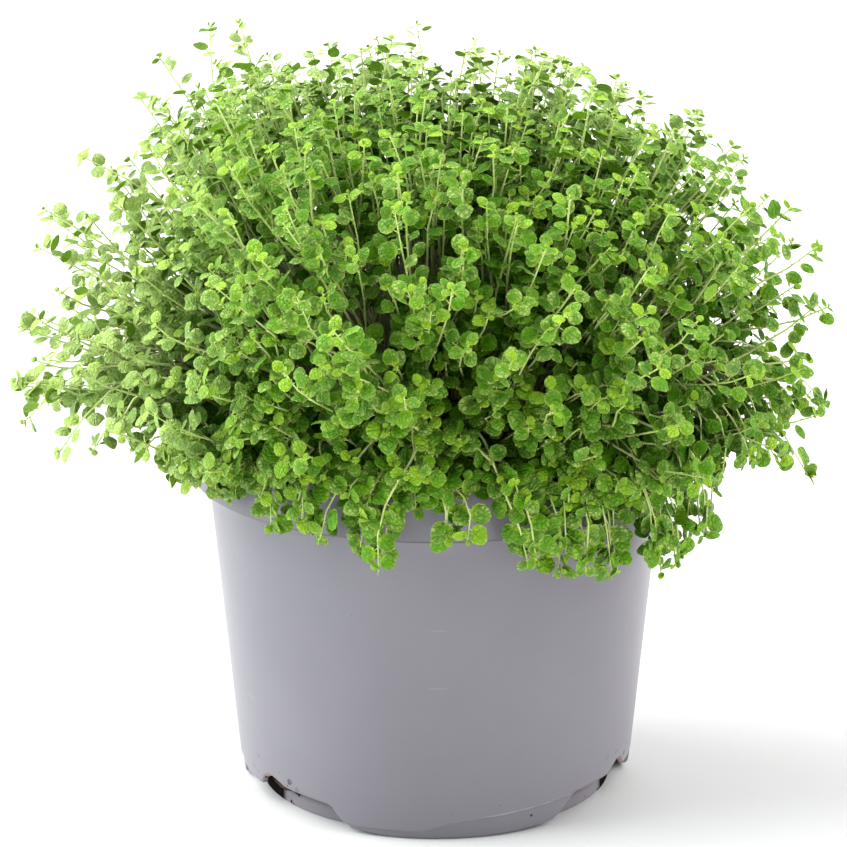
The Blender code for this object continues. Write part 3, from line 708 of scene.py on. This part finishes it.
hang_to = np.interp(angle_from_front(tip), edge_turn, edge_height)
below = np.clip((CROWN_WAIST - tip[:, 2]) / (CROWN_WAIST - HANG_HEIGHT), 0.0, 1.0)
room = (CROWN_WAIST - hang_to) / (CROWN_WAIST - HANG_HEIGHT)
kept = (below < 0.1) | (draw.random(count) < 0.22 + 0.55 * room)
kept = kept & (side_draw.random(count) > SIDE_LOSS * sideways * (kind < FAR))
hanging = smooth_step(below, 0.05, 0.35)
tip[:, 2] = np.where(below > 0.0, CROWN_WAIST - (CROWN_WAIST - hang_to) * below, tip[:, 2])
reach = np.where(below > 0.0, np.clip(reach, 0.95, 1.03), reach)
over = np.degrees(np.arctan2(tip[:, 2] - CROWN_MIDDLE[2], tip[:, 0])) % 360.0
reach *= np.interp(over, *np.array(SKYLINE).T)
tip = CROWN_MIDDLE + (tip - CROWN_MIDDLE) * reach[:, None]
tip[:, :2] *= drawn_in(tip)[:, None]

trail_turn, trail_low = np.repeat(np.array(TRAILS)[:, :2], [many for _, _, many in TRAILS], axis=0).T
trails = len(trail_turn)
trail_low = trail_low + (0.094 - trail_low) * draw.random(trails) ** 1.3
trail_turn = trail_turn + draw.normal(0.0, 2.6, trails)
trail_tip = round_z(COLLAR_RADIUS + draw.uniform(0.003, 0.012, trails), trail_turn, trail_low)
trail_out = unit(trail_tip * LEVEL + np.array([0.0, 0.0, 0.02]))
sprig_out, sprig_high = np.array(SPRIGS).T * 0.001
sprig_tip = np.stack([sprig_out, side_draw.uniform(-0.030, 0.012, len(SPRIGS)), sprig_high], -1)
tip = np.concatenate([tip[kept], trail_tip, sprig_tip])
outward = np.concatenate([outward[kept], trail_out, unit(sprig_tip * np.array([1.0, 1.0, 0.2]))])
hanging = np.concatenate([hanging[kept], np.ones(trails), smooth_step(-sprig_high, -0.112, -0.090)])[:, None]
kind = np.concatenate([kind[kept], np.full(trails, TRAIL), np.full(len(SPRIGS), SPRIG)])
sideways = np.concatenate([sideways[kept], np.zeros(trails), np.ones(len(SPRIGS))])
count = len(tip)
owner = np.linalg.norm(tip[:, None] - tuft_tip[None], axis=2).argmin(1)

# The stems' lines, cubic curves from the root, or from part way up the tuft's main stem, to the tip.
branch = np.where(draw.random(count) < 0.5, 0.0, draw.uniform(0.05, 0.5, count))[:, None]
first, middle, last = tuft_root[owner], tuft_bend[owner], tuft_end[owner]
base = first * (1 - branch) ** 2 + middle * 2 * branch * (1 - branch) + last * branch**2
heading = unit((middle - first) * (1 - branch) + (last - middle) * branch)
around_root = draw.uniform(0.0, math.tau, count)
off = ROOT_SPREAD * np.sqrt(draw.random(count))
offset = np.stack([off * np.cos(around_root), off * np.sin(around_root), np.zeros(count)], -1)
base = base + offset * np.where(branch > 0.0, 0.1, 1.0)
base[:, 2] -= np.where(branch[:, 0] > 0.0, 0.0, ROOT_DEPTH)
span = np.linalg.norm(tip - base, axis=1, keepdims=True)
arrive = unit(outward * 0.9 + np.array([0.0, 0.0, 0.30]) + draw.normal(0.0, 0.16, (count, 3)))
over_rim = unit(tip * LEVEL) * (np.hypot(tip[:, 0], tip[:, 1]) + BEND_OUT[kind])[:, None]
over_rim[:, 2] = BEND_HEIGHT[kind]
far_bend = (tip - arrive * 0.34 * span) * (1 - hanging) + over_rim * hanging
near_bend = base + heading * 0.30 * span + draw.normal(0.0, 0.0045, (count, 3))
near_bend[:, 2] += 0.010 * hanging[:, 0]
t = np.linspace(0.0, 1.0, STEM_POINTS)[None, :, None]
lines = base[:, None] * (1 - t) ** 3 + 3 * near_bend[:, None] * t * (1 - t) ** 2
lines = lines + 3 * far_bend[:, None] * t**2 * (1 - t) + tip[:, None] * t**3
flat_side = unit(np.cross(tip - base, near_bend - base) + 1e-7)
wave = np.sin(t * math.tau * draw.uniform(0.6, 1.3, (count, 1, 1)) + draw.uniform(0, math.tau, (count, 1, 1)))
lines = lines + flat_side[:, None] * wave * np.sin(t * math.pi) * draw.uniform(0.0005, 0.0040, (count, 1, 1))


def clear_of_pot(points):
    """Points near the pot's wall moved clear of it: outer ones outwards, and those inside the rim upwards."""
    radius = np.hypot(points[..., 0], points[..., 1])
    wall = np.where(points[..., 2] > COLLAR_FOOT - POT_MARGIN, COLLAR_RADIUS, wall_radius(points[..., 2]))
    beside = (points[..., 2] < POT_TOP + POT_MARGIN) & (radius > rim_inner - POT_MARGIN) & (radius < wall + POT_MARGIN)
    outside = beside & (radius > COLLAR_RADIUS - 0.0010)
    moved = points.copy()
    push = np.where(outside, (wall + POT_MARGIN) / np.maximum(radius, 1e-6), 1.0)
    moved[..., :2] *= push[..., None]
    moved[..., 2] = np.where(beside & ~outside, POT_TOP + POT_MARGIN, moved[..., 2])
    return moved


lines[:, 1:] = clear_of_pot(lines[:, 1:])
courses = unit(np.gradient(lines, axis=1))
lengths = np.append(np.zeros((count, 1)), np.cumsum(np.linalg.norm(np.diff(lines, axis=1), axis=2), 1), 1)

# Where the leaves sit: at growing distances back from the tip, on the stem's outer part. A leaf's joint lies
# between two of the stem's points, the low one and the next.
pitch = draw.uniform(0.85, 1.2, (count, 1))
back = LEAF_GAPS * pitch * draw.uniform(0.9, 1.1, (count, RANKS))
at = lengths[:, -1:] - back
bare = (BARE_PART[kind] + SIDE_BARE * sideways * (kind < FAR))[:, None]
grows = (at > bare * lengths[:, -1:]) & (draw.random((count, RANKS)) > 0.04)
low = np.clip((lengths[:, None, :] < at[:, :, None]).sum(2) - 1, 0, STEM_POINTS - 2)
stem, rank = np.nonzero(grows)
low = low[stem, rank]
part = (at[stem, rank] - lengths[stem, low]) / (lengths[stem, low + 1] - lengths[stem, low])
part = np.clip(part, 0.0, 1.0)[:, None]
joint = lines[stem, low] * (1 - part) + lines[stem, low + 1] * part
course = unit(courses[stem, low] * (1 - part) + courses[stem, low + 1] * part)
leaf_count = len(stem)

# How the leaves face: up and outwards, and at the crown's left and right a little to the front. Those of the
# rosette spread round the tip, the others to both sides.
away = unit((joint - CROWN_MIDDLE) * np.array([1.0, 1.0, 0.8]))
at_side = sideways[stem][:, None]
facing = (0.80 - 0.25 * at_side) * away + np.array([0.0, 0.0, 0.50]) + at_side * np.array([0.0, -0.20, 0.0])
facing = unit(facing + draw.normal(0.0, 0.38, (leaf_count, 3)))
in_rosette = (rank < ROSETTE)[:, None]
rosette_axis = unit(0.7 * facing + 0.5 * course)
rosette_side = square_to(draw.normal(size=(count, 3))[stem], rosette_axis)
swing = (draw.uniform(0.0, math.tau, count)[stem] + rank * 2.4 + draw.normal(0.0, 0.2, leaf_count))[:, None]
spoke = rosette_side * np.cos(swing) + np.cross(rosette_axis, rosette_side) * np.sin(swing)
raised = RAISED[np.minimum(rank, ROSETTE - 1)][:, None]
rosette_along = unit(spoke + rosette_axis * raised)
sides = np.where((rank + stem) % 2 == 0, 1.0, -1.0)[:, None]
beside = unit(np.cross(course, facing)) * sides
side_along = unit(0.9 * beside + 0.45 * course + draw.normal(0.0, 0.22, (leaf_count, 3)))
along = np.where(in_rosette, rosette_along, side_along)
normal = square_to(np.where(in_rosette, rosette_axis, facing), along)
across = np.cross(along, normal)
length = LEAF_LENGTHS[rank] * draw.uniform(0.84, 1.12, leaf_count) * draw.uniform(0.88, 1.12, count)[stem]
length *= 1.05 - 0.20 * smooth_step(joint[:, 2], 0.110, 0.185)
stalk = STALKS[rank] * draw.uniform(0.7, 1.4, leaf_count)
foot = joint + along * stalk[:, None] + normal * 0.0002
centre = foot + along * length[:, None] / 2
foot = foot + clear_of_pot(centre) - centre

# A leaf's shape: on top a centre, a ring at 0.6 and the rim, ten points round, and below one point under the
# centre. It is a circle, widest towards its foot, domed as 1 - r², creased along its midrib, with its tip bent
# down and its rim a little wavy.
full_turn = (np.arange(LEAF_SIDES) + 0.5) * math.tau / LEAF_SIDES
leaf_turn = np.concatenate([[0.0], full_turn, full_turn, [0.0]])
out = np.concatenate([[0.0], np.repeat([0.6, 1.0], LEAF_SIDES), [0.0]])
face_side = np.concatenate([[1.0], np.repeat([1.0, 0.0], LEAF_SIDES), [-1.0]])
leaf_u = out * np.sin(leaf_turn) * (1.0 + 0.10 * np.cos(leaf_turn))
leaf_v = -out * np.cos(leaf_turn)
point = 0.05 * np.maximum(leaf_v, 0.0) ** 6
dome, crease, curl, wavy = (
    draw.normal(*shape, (leaf_count, 1)) for shape in ((0.21, 0.07), (0.06, 0.02), (0.07, 0.05), (0.0, 0.03))
)
dome = np.maximum(dome, 0.05)
shape = -dome * (0.55 * leaf_u**2 + 0.45 * leaf_v**2) + crease * np.abs(leaf_u) * (1.0 - 0.6 * out)
shape = shape - np.maximum(curl, 0.0) * np.maximum(leaf_v, 0.0) ** 2
shape = shape + wavy * out**2 * np.sin(3.0 * leaf_turn + draw.uniform(0, math.tau, (leaf_count, 1)))
size = length[:, None]
height = shape * size + LEAF_SKIN * face_side * (1.0 - 0.6 * out**2)
leaf_points = foot[:, None] + along[:, None] * (size * (0.5 + 0.5 * leaf_v + point))[..., None]
leaf_points = leaf_points + across[:, None] * (size * 0.5 * LEAF_WIDTH * leaf_u)[..., None]
leaf_points = leaf_points + normal[:, None] * height[..., None]

# The stalk, a thin spike of three sides from the stem into the leaf's foot.
thirds = np.arange(3) * math.tau / 3
spokes = across[:, None] * np.cos(thirds)[:, None] + normal[:, None] * np.sin(thirds)[:, None]
stalk_points = joint[:, None] + spokes * STALK_RADIUS
stalk_tip = foot + along * 0.10 * size - normal * (0.5 * dome * 0.45 * size)
leaf_points = np.concatenate([leaf_points, stalk_points, stalk_tip[:, None]], 1)
LEAF_POINTS = leaf_points.shape[1]

ring = np.arange(LEAF_SIDES)
ring_next = (ring + 1) % LEAF_SIDES
inner, rim, below_centre = 1, 1 + LEAF_SIDES, 1 + 2 * LEAF_SIDES
leaf_quads = np.stack([inner + ring, rim + ring, rim + ring_next, inner + ring_next], -1)
top_fans = np.stack([np.zeros(LEAF_SIDES, int), inner + ring, inner + ring_next], -1)
under_fans = np.stack([np.full(LEAF_SIDES, below_centre), rim + ring_next, rim + ring], -1)
leaf_fans = np.concatenate([top_fans, under_fans])
foot_point = below_centre + 1
stalk_faces = np.array([[1, 0, 3], [2, 1, 3], [0, 2, 3], [0, 1, 2]]) + foot_point

# The stems' tubes: rings of five points square to the line, closed to a pole at both ends.
all_lines = np.concatenate([lines, np.zeros((TUFTS, STEM_POINTS, 3))])
main_t = t * MAIN_STEM_LENGTH
all_lines[count:] = (
    tuft_root[:, None] * (1 - main_t) ** 2
    + tuft_bend[:, None] * 2 * main_t * (1 - main_t)
    + tuft_end[:, None] * main_t**2
)
all_lines[count:, 0, 2] -= ROOT_DEPTH
all_courses = unit(np.gradient(all_lines, axis=1))
references = np.concatenate([flat_side, unit(np.cross(tuft_end - tuft_root, tuft_bend - tuft_root) + 1e-7)])
spin = np.arange(STEM_SIDES) * math.tau / STEM_SIDES
first_way = square_to(np.repeat(references[:, None], STEM_POINTS, 1), all_courses)
second_way = np.cross(all_courses, first_way)
taper = STEM_THIN + STEM_THICK * (1.0 - t) ** 0.7
thick = np.concatenate([draw.uniform(0.85, 1.2, count), np.full(TUFTS, MAIN_STEM_WIDTH)])[:, None, None]
tube = first_way[:, :, None] * np.cos(spin)[:, None] + second_way[:, :, None] * np.sin(spin)[:, None]
tube = all_lines[:, :, None] + tube * (taper * thick)[..., None]
tube = tube.reshape(len(tube), -1, 3)
tube = np.concatenate([all_lines[:, :1], tube, all_lines[:, -1:] + all_courses[:, -1:] * STEM_THIN], 1)
TUBE_POINTS = tube.shape[1]
tube_quads, tube_fans = put_poles(tube[0], STEM_SIDES)


def depth_of(points):
    """How deep points lie in the crown: 0 at its outline and below it over the collar, and 1 half way in."""
    radius = np.hypot(points[..., 0], points[..., 1])
    out = np.hypot(radius / (CROWN_RADIUS * drawn_in(points)), (points[..., 2] - 0.090) / 0.097)
    over_collar = smooth_step(radius, 0.060, 0.064) * (1.0 - smooth_step(points[..., 2], 0.088, 0.100))
    return np.clip((1.0 - out) / 0.5, 0.0, 1.0) * (1.0 - over_collar)


# What the materials read at each point: a leaf's or stem's own random number, its age and its depth in the crown.
# A stalk counts as less than half as old as its leaf.
leaf_random = draw.random(leaf_count)
leaf_age = np.clip(LEAF_AGES[rank] + draw.normal(0.0, 0.06, count)[stem], 0.0, 1.0)
leaf_kind = np.stack([leaf_random, leaf_age, depth_of(centre)], -1)
leaf_kind = np.repeat(leaf_kind[:, None], LEAF_POINTS, 1)
leaf_kind[:, foot_point:, 1] *= 0.4
tube_random = draw.random(len(tube))[:, None] * np.ones((1, TUBE_POINTS))
tube_age = 1.0 - np.concatenate([[0.0], np.repeat(t[0, :, 0], STEM_SIDES), [1.0]])
tube_age = np.repeat(tube_age[None], len(tube), 0)
tube_age[count:] = 0.55 + 0.45 * tube_age[count:]
tube_kind = np.stack([tube_random, tube_age, depth_of(tube)], -1)
tube_owner = np.concatenate([owner, tuft])

# Each face's corners on two maps: leaf_map spreads a leaf's width and length over the unit square, and OFBake
# gives each face of a leaf, and each stem, a cell of its own.
leaf_corners = np.concatenate([leaf_quads.ravel(), leaf_fans.ravel(), stalk_faces.ravel()])
leaf_map = np.concatenate([np.stack([0.5 + 0.5 * leaf_u, 0.5 + 0.5 * leaf_v], -1), np.full((4, 2), 0.5)])
cell_map = np.stack([0.5 + 0.44 * out * np.sin(leaf_turn), 0.5 - 0.44 * out * np.cos(leaf_turn)], -1)
cell_map = np.concatenate([cell_map, [[0.03, 0.03], [0.15, 0.03], [0.03, 0.15], [0.13, 0.13]]])
upper = np.arange(len(leaf_corners)) < leaf_quads.size + top_fans.size
strip = np.arange(STEM_SIDES)
quad_column = np.tile(np.stack([strip, strip + 1, strip + 1, strip], -1), (STEM_POINTS - 1, 1))
quad_row = np.repeat(np.arange(STEM_POINTS - 1), STEM_SIDES)[:, None] + np.array([1, 1, 2, 2])
quad_map = np.stack([quad_column / STEM_SIDES, quad_row / (STEM_POINTS + 1)], -1).reshape(-1, 2)
fan_column = np.stack([strip + 0.5, strip + 1, strip], -1)
fan_low = np.stack([fan_column / STEM_SIDES, np.tile([0.0, 1.0, 1.0], (STEM_SIDES, 1)) / (STEM_POINTS + 1)], -1)
fan_high = np.stack([fan_column[:, [0, 2, 1]] / STEM_SIDES, 1.0 - fan_low[..., 1]], -1)
tube_map = 0.04 + 0.92 * np.concatenate([quad_map, fan_low.reshape(-1, 2), fan_high.reshape(-1, 2)])


def copies(faces, many, points, first=0):
    """A template's faces, repeated for many copies with this number of points each."""
    return (faces[None] + first + points * np.arange(many)[:, None, None]).reshape(-1, faces.shape[1])


def cells_of(numbers, corner_map, wide):
    """A template's corners on the bake map, each copy in the cell of its number, in rows of wide cells."""
    place = np.stack([numbers % wide, numbers // wide], -1)
    return (corner_map[None] + place) / wide


def make_tuft(index):
    """One tuft's leaves, stalks and stems in one mesh."""
    mine = np.nonzero(owner[stem] == index)[0]
    tubes = np.nonzero(tube_owner == index)[0]
    points = np.concatenate([leaf_points[mine].reshape(-1, 3), tube[tubes].reshape(-1, 3)])
    start = len(mine) * LEAF_POINTS
    groups = [copies(leaf_quads, len(mine), LEAF_POINTS), copies(leaf_fans, len(mine), LEAF_POINTS)]
    groups += [copies(stalk_faces, len(mine), LEAF_POINTS)]
    groups += [copies(faces, len(tubes), TUBE_POINTS, start) for faces in (tube_quads, tube_fans)]
    obj = put_in_mesh(f"leafy_tuft_{index:02d}", points, groups)
    mesh = obj.data
    counts = [len(group) for group in groups]
    wears = np.repeat([0, 0, 1, 1, 1], counts).astype(np.int32)
    mesh.polygons.foreach_set("material_index", wears)
    kinds = np.concatenate([leaf_kind[mine].reshape(-1, 3), tube_kind[tubes].reshape(-1, 3)])
    mesh.attributes.new("growth", "FLOAT_VECTOR", "POINT").data.foreach_set("vector", kinds.astype(np.float32).ravel())
    fan_sides = np.repeat([0.0, 1.0], [len(top_fans), len(under_fans)])
    below = np.concatenate([np.zeros(counts[0]), np.tile(fan_sides, len(mine)), np.zeros(sum(counts[2:]))])
    mesh.attributes.new("underside", "FLOAT", "FACE").data.foreach_set("value", below.astype(np.float32))
    rims = np.zeros(len(points), bool)
    rims[:start].reshape(-1, LEAF_POINTS)[:, rim : rim + LEAF_SIDES] = True
    ends = np.empty(2 * len(mesh.edges), np.int32)
    mesh.edges.foreach_get("vertices", ends)
    sharp = rims[ends].reshape(-1, 2).all(1)
    mesh.attributes.new("sharp_edge", "BOOLEAN", "EDGE").data.foreach_set("value", sharp)
    wide = math.ceil(math.sqrt(2 * len(mine) + len(tubes)))
    numbers = 2 * np.arange(len(mine))[:, None] + np.where(upper, 0, 1)[None]
    cells = cells_of(numbers, cell_map[leaf_corners], wide)
    splits = np.cumsum([leaf_quads.size, leaf_fans.size])
    shapes = np.tile(leaf_map[leaf_corners], (len(mine), 1, 1))
    tube_cells = cells_of((2 * len(mine) + np.arange(len(tubes)))[:, None], tube_map, wide)
    tube_shapes = np.tile(tube_map, (len(tubes), 1, 1))
    for name, on_leaves, on_tubes in (("leaf_map", shapes, tube_shapes), ("OFBake", cells, tube_cells)):
        parts = [part.reshape(-1, 2) for part in np.split(on_leaves, splits, axis=1)]
        parts += [part.reshape(-1, 2) for part in np.split(on_tubes, [tube_quads.size], axis=1)]
        places = np.concatenate(parts).astype(np.float32)
        mesh.uv_layers.new(name=name).uv.foreach_set("vector", places.ravel())
    return obj


YOUNG = (0.300, 0.520, 0.018)
GROWN = (0.082, 0.258, 0.002)
OLD = (0.033, 0.144, 0.001)
PAINTED_SHEEN = (0.435, 0.555, 0.140)
PAINTED_LIGHT_PALE = (0.650, 0.725, 0.430)
VEIN = (0.036, 0.140, 0.001)
UNDERSIDE = (0.240, 0.460, 0.020)
IN_SHADE = (0.016, 0.062, 0.001)
STEM_YOUNG = (0.48, 0.64, 0.17)
STEM_GROWN = (0.56, 0.60, 0.25)
STEM_OLD = (0.50, 0.40, 0.20)
STEM_IN_SHADE = (0.040, 0.062, 0.010)

leaf, tree, shader, place = new_material("leaf", 0.33)
growth = axes_of(add_node(tree, "ShaderNodeAttribute", attribute_name="growth").outputs["Vector"])
random, age, depth = growth["X"], growth["Y"], growth["Z"]
underside = add_node(tree, "ShaderNodeAttribute", attribute_name="underside").outputs["Fac"]
on_leaf = add_node(tree, "ShaderNodeUVMap", uv_map="leaf_map").outputs["UV"]
across, along = axes_of(on_leaf)[:2]

# The blade bulges in panels between a midrib, slanting side veins and a fine net that is each leaf's own.
net_place = {"X": across, "Y": along, "Z": times(random, 37.0)}
net_place = add_node(tree, "ShaderNodeCombineXYZ", net_place).outputs[0]
net = add_node(tree, "ShaderNodeTexVoronoi", {"Vector": net_place, "Scale": 3.8}, feature="DISTANCE_TO_EDGE")
panel = ranged(net.outputs["Distance"], 0.0, 0.30)
from_rib = gap_between(across, 0.5)
slant = times(maths("SUBTRACT", along, times(from_rib, 0.9)), 5.0)
side_vein = times(ranged(gap_between(maths("FRACT", slant), 0.5), 0.12, 0.0), 0.6)
veins = maths("MAXIMUM", ranged(from_rib, 0.05, 0.0), side_vein)
from_middle = add_node(tree, "ShaderNodeVectorMath", {0: on_leaf, 1: (0.5, 0.5, 0.0)}, operation="DISTANCE")
from_middle = from_middle.outputs["Value"]

# Young leaves are yellow green and old ones dark. Those at the crown's left and on top at the back get painted light.
where = axes_of(place)
on_left = ranged(where["X"], -0.035, -0.085)
on_top = times(ranged(where["Z"], 0.145, 0.180), ranged(where["Y"], -0.035, 0.030))
painted_light_side = maths("MAXIMUM", on_left, on_top)
tone = maths("ADD", age, times(maths("SUBTRACT", random, 0.5), 0.75))
tone = maths("SUBTRACT", tone, times(painted_light_side, 0.30))
colour = mixed(ranged(tone, 0.0, 0.45), YOUNG, GROWN)
colour = mixed(ranged(tone, 0.45, 1.15), colour, OLD)

# A painted sheen of pale panels and rim, darker veins, and a yellow green foot.
sheen_share = times(ranged(panel, 0.0, 1.0, 0.45, 1.0), ranged(from_middle, 0.05, 0.36, 0.35, 1.0))
soft_patches = pattern(clouding, place, Scale=330.0, Detail=0.5)
sheen_share = times(sheen_share, ranged(soft_patches, 0.0, 1.0, 0.20, 0.75))
colour = mixed(times(sheen_share, ranged(random, 0.1, 0.9, 0.15, 1.0)), colour, PAINTED_SHEEN)
sunk = maths("MAXIMUM", times(maths("SUBTRACT", 1.0, panel), 0.6), veins)
colour = mixed(times(sunk, 0.60), colour, VEIN)
colour = mixed(ranged(along, 0.34, 0.04, 0.0, 0.6), colour, YOUNG)
colour = mixed(times(ranged(from_middle, 0.41, 0.50), 0.45), colour, PAINTED_SHEEN)
# Painted light: the crown's left and its top at the back are mixed towards pale colours.
colour = mixed(times(painted_light_side, 0.34), colour, PAINTED_SHEEN)
colour = mixed(maths("MAXIMUM", times(on_left, 0.14), times(on_top, 0.28)), colour, PAINTED_LIGHT_PALE)
colour = mixed(times(underside, 0.7), colour, UNDERSIDE)
# Painted shade: leaves deep in the crown are darkened towards IN_SHADE, less so at the crown's left.
shaded = times(ranged(depth, 0.04, 0.52), ranged(on_left, 0.0, 1.0, 0.86, 0.52))
colour = mixed(shaded, colour, IN_SHADE)
finish_shader(shader, colour, maths("SUBTRACT", panel, times(veins, 0.6)), 0.55, 0.0005)
tree.links.new(ranged(depth, 0.0, 0.4, 0.34, 0.02), shader.inputs["Specular IOR Level"])
shader.inputs["Specular Tint"].default_value = (0.85, 1.0, 0.40, 1.0)

stalk_green, tree, shader, place = new_material("leaf_stem", 0.5)
growth = axes_of(add_node(tree, "ShaderNodeAttribute", attribute_name="growth").outputs["Vector"])
clouds = pattern(clouding, place, Scale=300.0)
tone = maths("ADD", growth["Y"], times(maths("SUBTRACT", clouds, 0.5), 0.25))
colour = mixed(ranged(tone, 0.0, 0.5), STEM_YOUNG, STEM_GROWN)
colour = mixed(ranged(tone, 0.70, 1.10), colour, STEM_OLD)
colour = mixed(times(ranged(growth["Z"], 0.10, 0.70), 0.70), colour, STEM_IN_SHADE)
hairs = add_node(tree, "ShaderNodeTexNoise", {"Vector": place, "Scale": 2600.0, "Detail": 1.0}).outputs["Fac"]
finish_shader(shader, colour, hairs, 0.4, 0.0003)

for index in range(TUFTS):
    piece = make_tuft(index)
    piece.data.materials.append(leaf)
    piece.data.materials.append(stalk_green)
    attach(piece, "root")
    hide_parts(f"tuft_{index:02d}")


# Studio. A wide pale floor, soft suns from the left, the right and behind, the left one strongest, a softbox at
# each side, and the camera about 0.9 m in front and 0.36 m high, looking down at the pot.
FLOOR_RADIUS = 4.0
FLOOR_TONES = ((0.58, 0.58, 0.58), (0.60, 0.60, 0.60))
WORLD_LIGHT = 0.10
SOFTBOX_AIM = (0.0, 0.0, 0.08)
CAMERA_AWAY = 0.9085
CAMERA_HEIGHT = 0.3582
CAMERA_DOWN = 16.56
CAMERA_LENS = 162.6
CAMERA_SHIFT = (-0.01417, 0.01299)

rows, columns = 5, 48
floor_radius = np.linspace(FLOOR_RADIUS, 0.4, rows)[:, None]
floor_grid = round_z(floor_radius, np.arange(columns)[None, :] * 360.0 / columns, 0.0).reshape(-1, 3)
floor_points = np.concatenate([floor_grid, [[0.0, 0.0, 0.0]]])
column = np.arange(columns)
last_row = (rows - 1) * columns
fan = np.stack([np.full(columns, len(floor_grid)), last_row + column, last_row + (column + 1) % columns], -1)
floor = put_in_mesh("studio_floor", floor_points, [grid_faces(rows, columns), fan])
floor_white, tree, shader, place = new_material("floor_white", 0.8)
tree.links.new(mixed(pattern(clouding, place, Scale=3.0), *FLOOR_TONES), shader.inputs["Base Color"])
shader.inputs["Specular IOR Level"].default_value = 0.1
floor.data.materials.append(floor_white)
floor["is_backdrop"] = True

world = bpy.data.worlds.new("studio_light")
world.use_nodes = True
sky = world.node_tree.nodes["Background"].inputs
sky["Color"].default_value = (1.0, 1.0, 1.0, 1.0)
sky["Strength"].default_value = WORLD_LIGHT
bpy.context.scene.world = world


def add_sun(name, strength, elevation, degrees, softness):
    """A soft sun at a height over the horizon, turned by degrees from straight in front of the pot."""
    light = bpy.data.lights.new(name, "SUN")
    light.energy = strength
    light.angle = math.radians(softness)
    obj = bpy.data.objects.new(name, light)
    obj.rotation_euler = (math.radians(90.0 - elevation), 0.0, math.radians(degrees))
    bpy.context.scene.collection.objects.link(obj)


def add_softbox(name, watts, place, size, colour):
    """A rectangular area light at a place, facing the pot."""
    light = bpy.data.lights.new(name, "AREA")
    light.energy = watts
    light.shape = "RECTANGLE"
    light.size, light.size_y = size
    light.color = colour
    obj = bpy.data.objects.new(name, light)
    obj.location = place
    direction = np.array(SOFTBOX_AIM) - np.array(place)
    pitch = math.atan2(math.hypot(direction[0], direction[1]), -direction[2])
    obj.rotation_euler = (pitch, 0.0, math.atan2(-direction[0], direction[1]))
    bpy.context.scene.collection.objects.link(obj)


add_sun("sun_left", 7.3, 41.0, -98.0, 60.0)
add_sun("sun_right", 3.4, 42.0, 98.0, 60.0)
add_sun("sun_back", 2.1, 62.0, 180.0, 70.0)
add_softbox("softbox_left", 4.5, (-0.93, -0.30, 0.35), (0.9, 0.7), (0.74, 0.94, 1.0))
add_softbox("softbox_right", 6.5, (0.82, -0.70, 0.30), (1.35, 0.6), (1.0, 1.0, 1.0))

lens = bpy.data.cameras.new("camera")
lens.lens = CAMERA_LENS
lens.sensor_width = 36.0
lens.sensor_fit = "HORIZONTAL"
lens.shift_x, lens.shift_y = CAMERA_SHIFT
camera = bpy.data.objects.new("camera", lens)
camera.location = (0.0, -CAMERA_AWAY, CAMERA_HEIGHT)
camera.rotation_euler = (math.radians(90.0 - CAMERA_DOWN), 0.0, 0.0)
bpy.context.scene.collection.objects.link(camera)
bpy.context.scene.camera = camera
bpy.context.scene.view_settings.view_transform = "Standard"

sizes = {"cad": cad_box, "visual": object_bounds()}
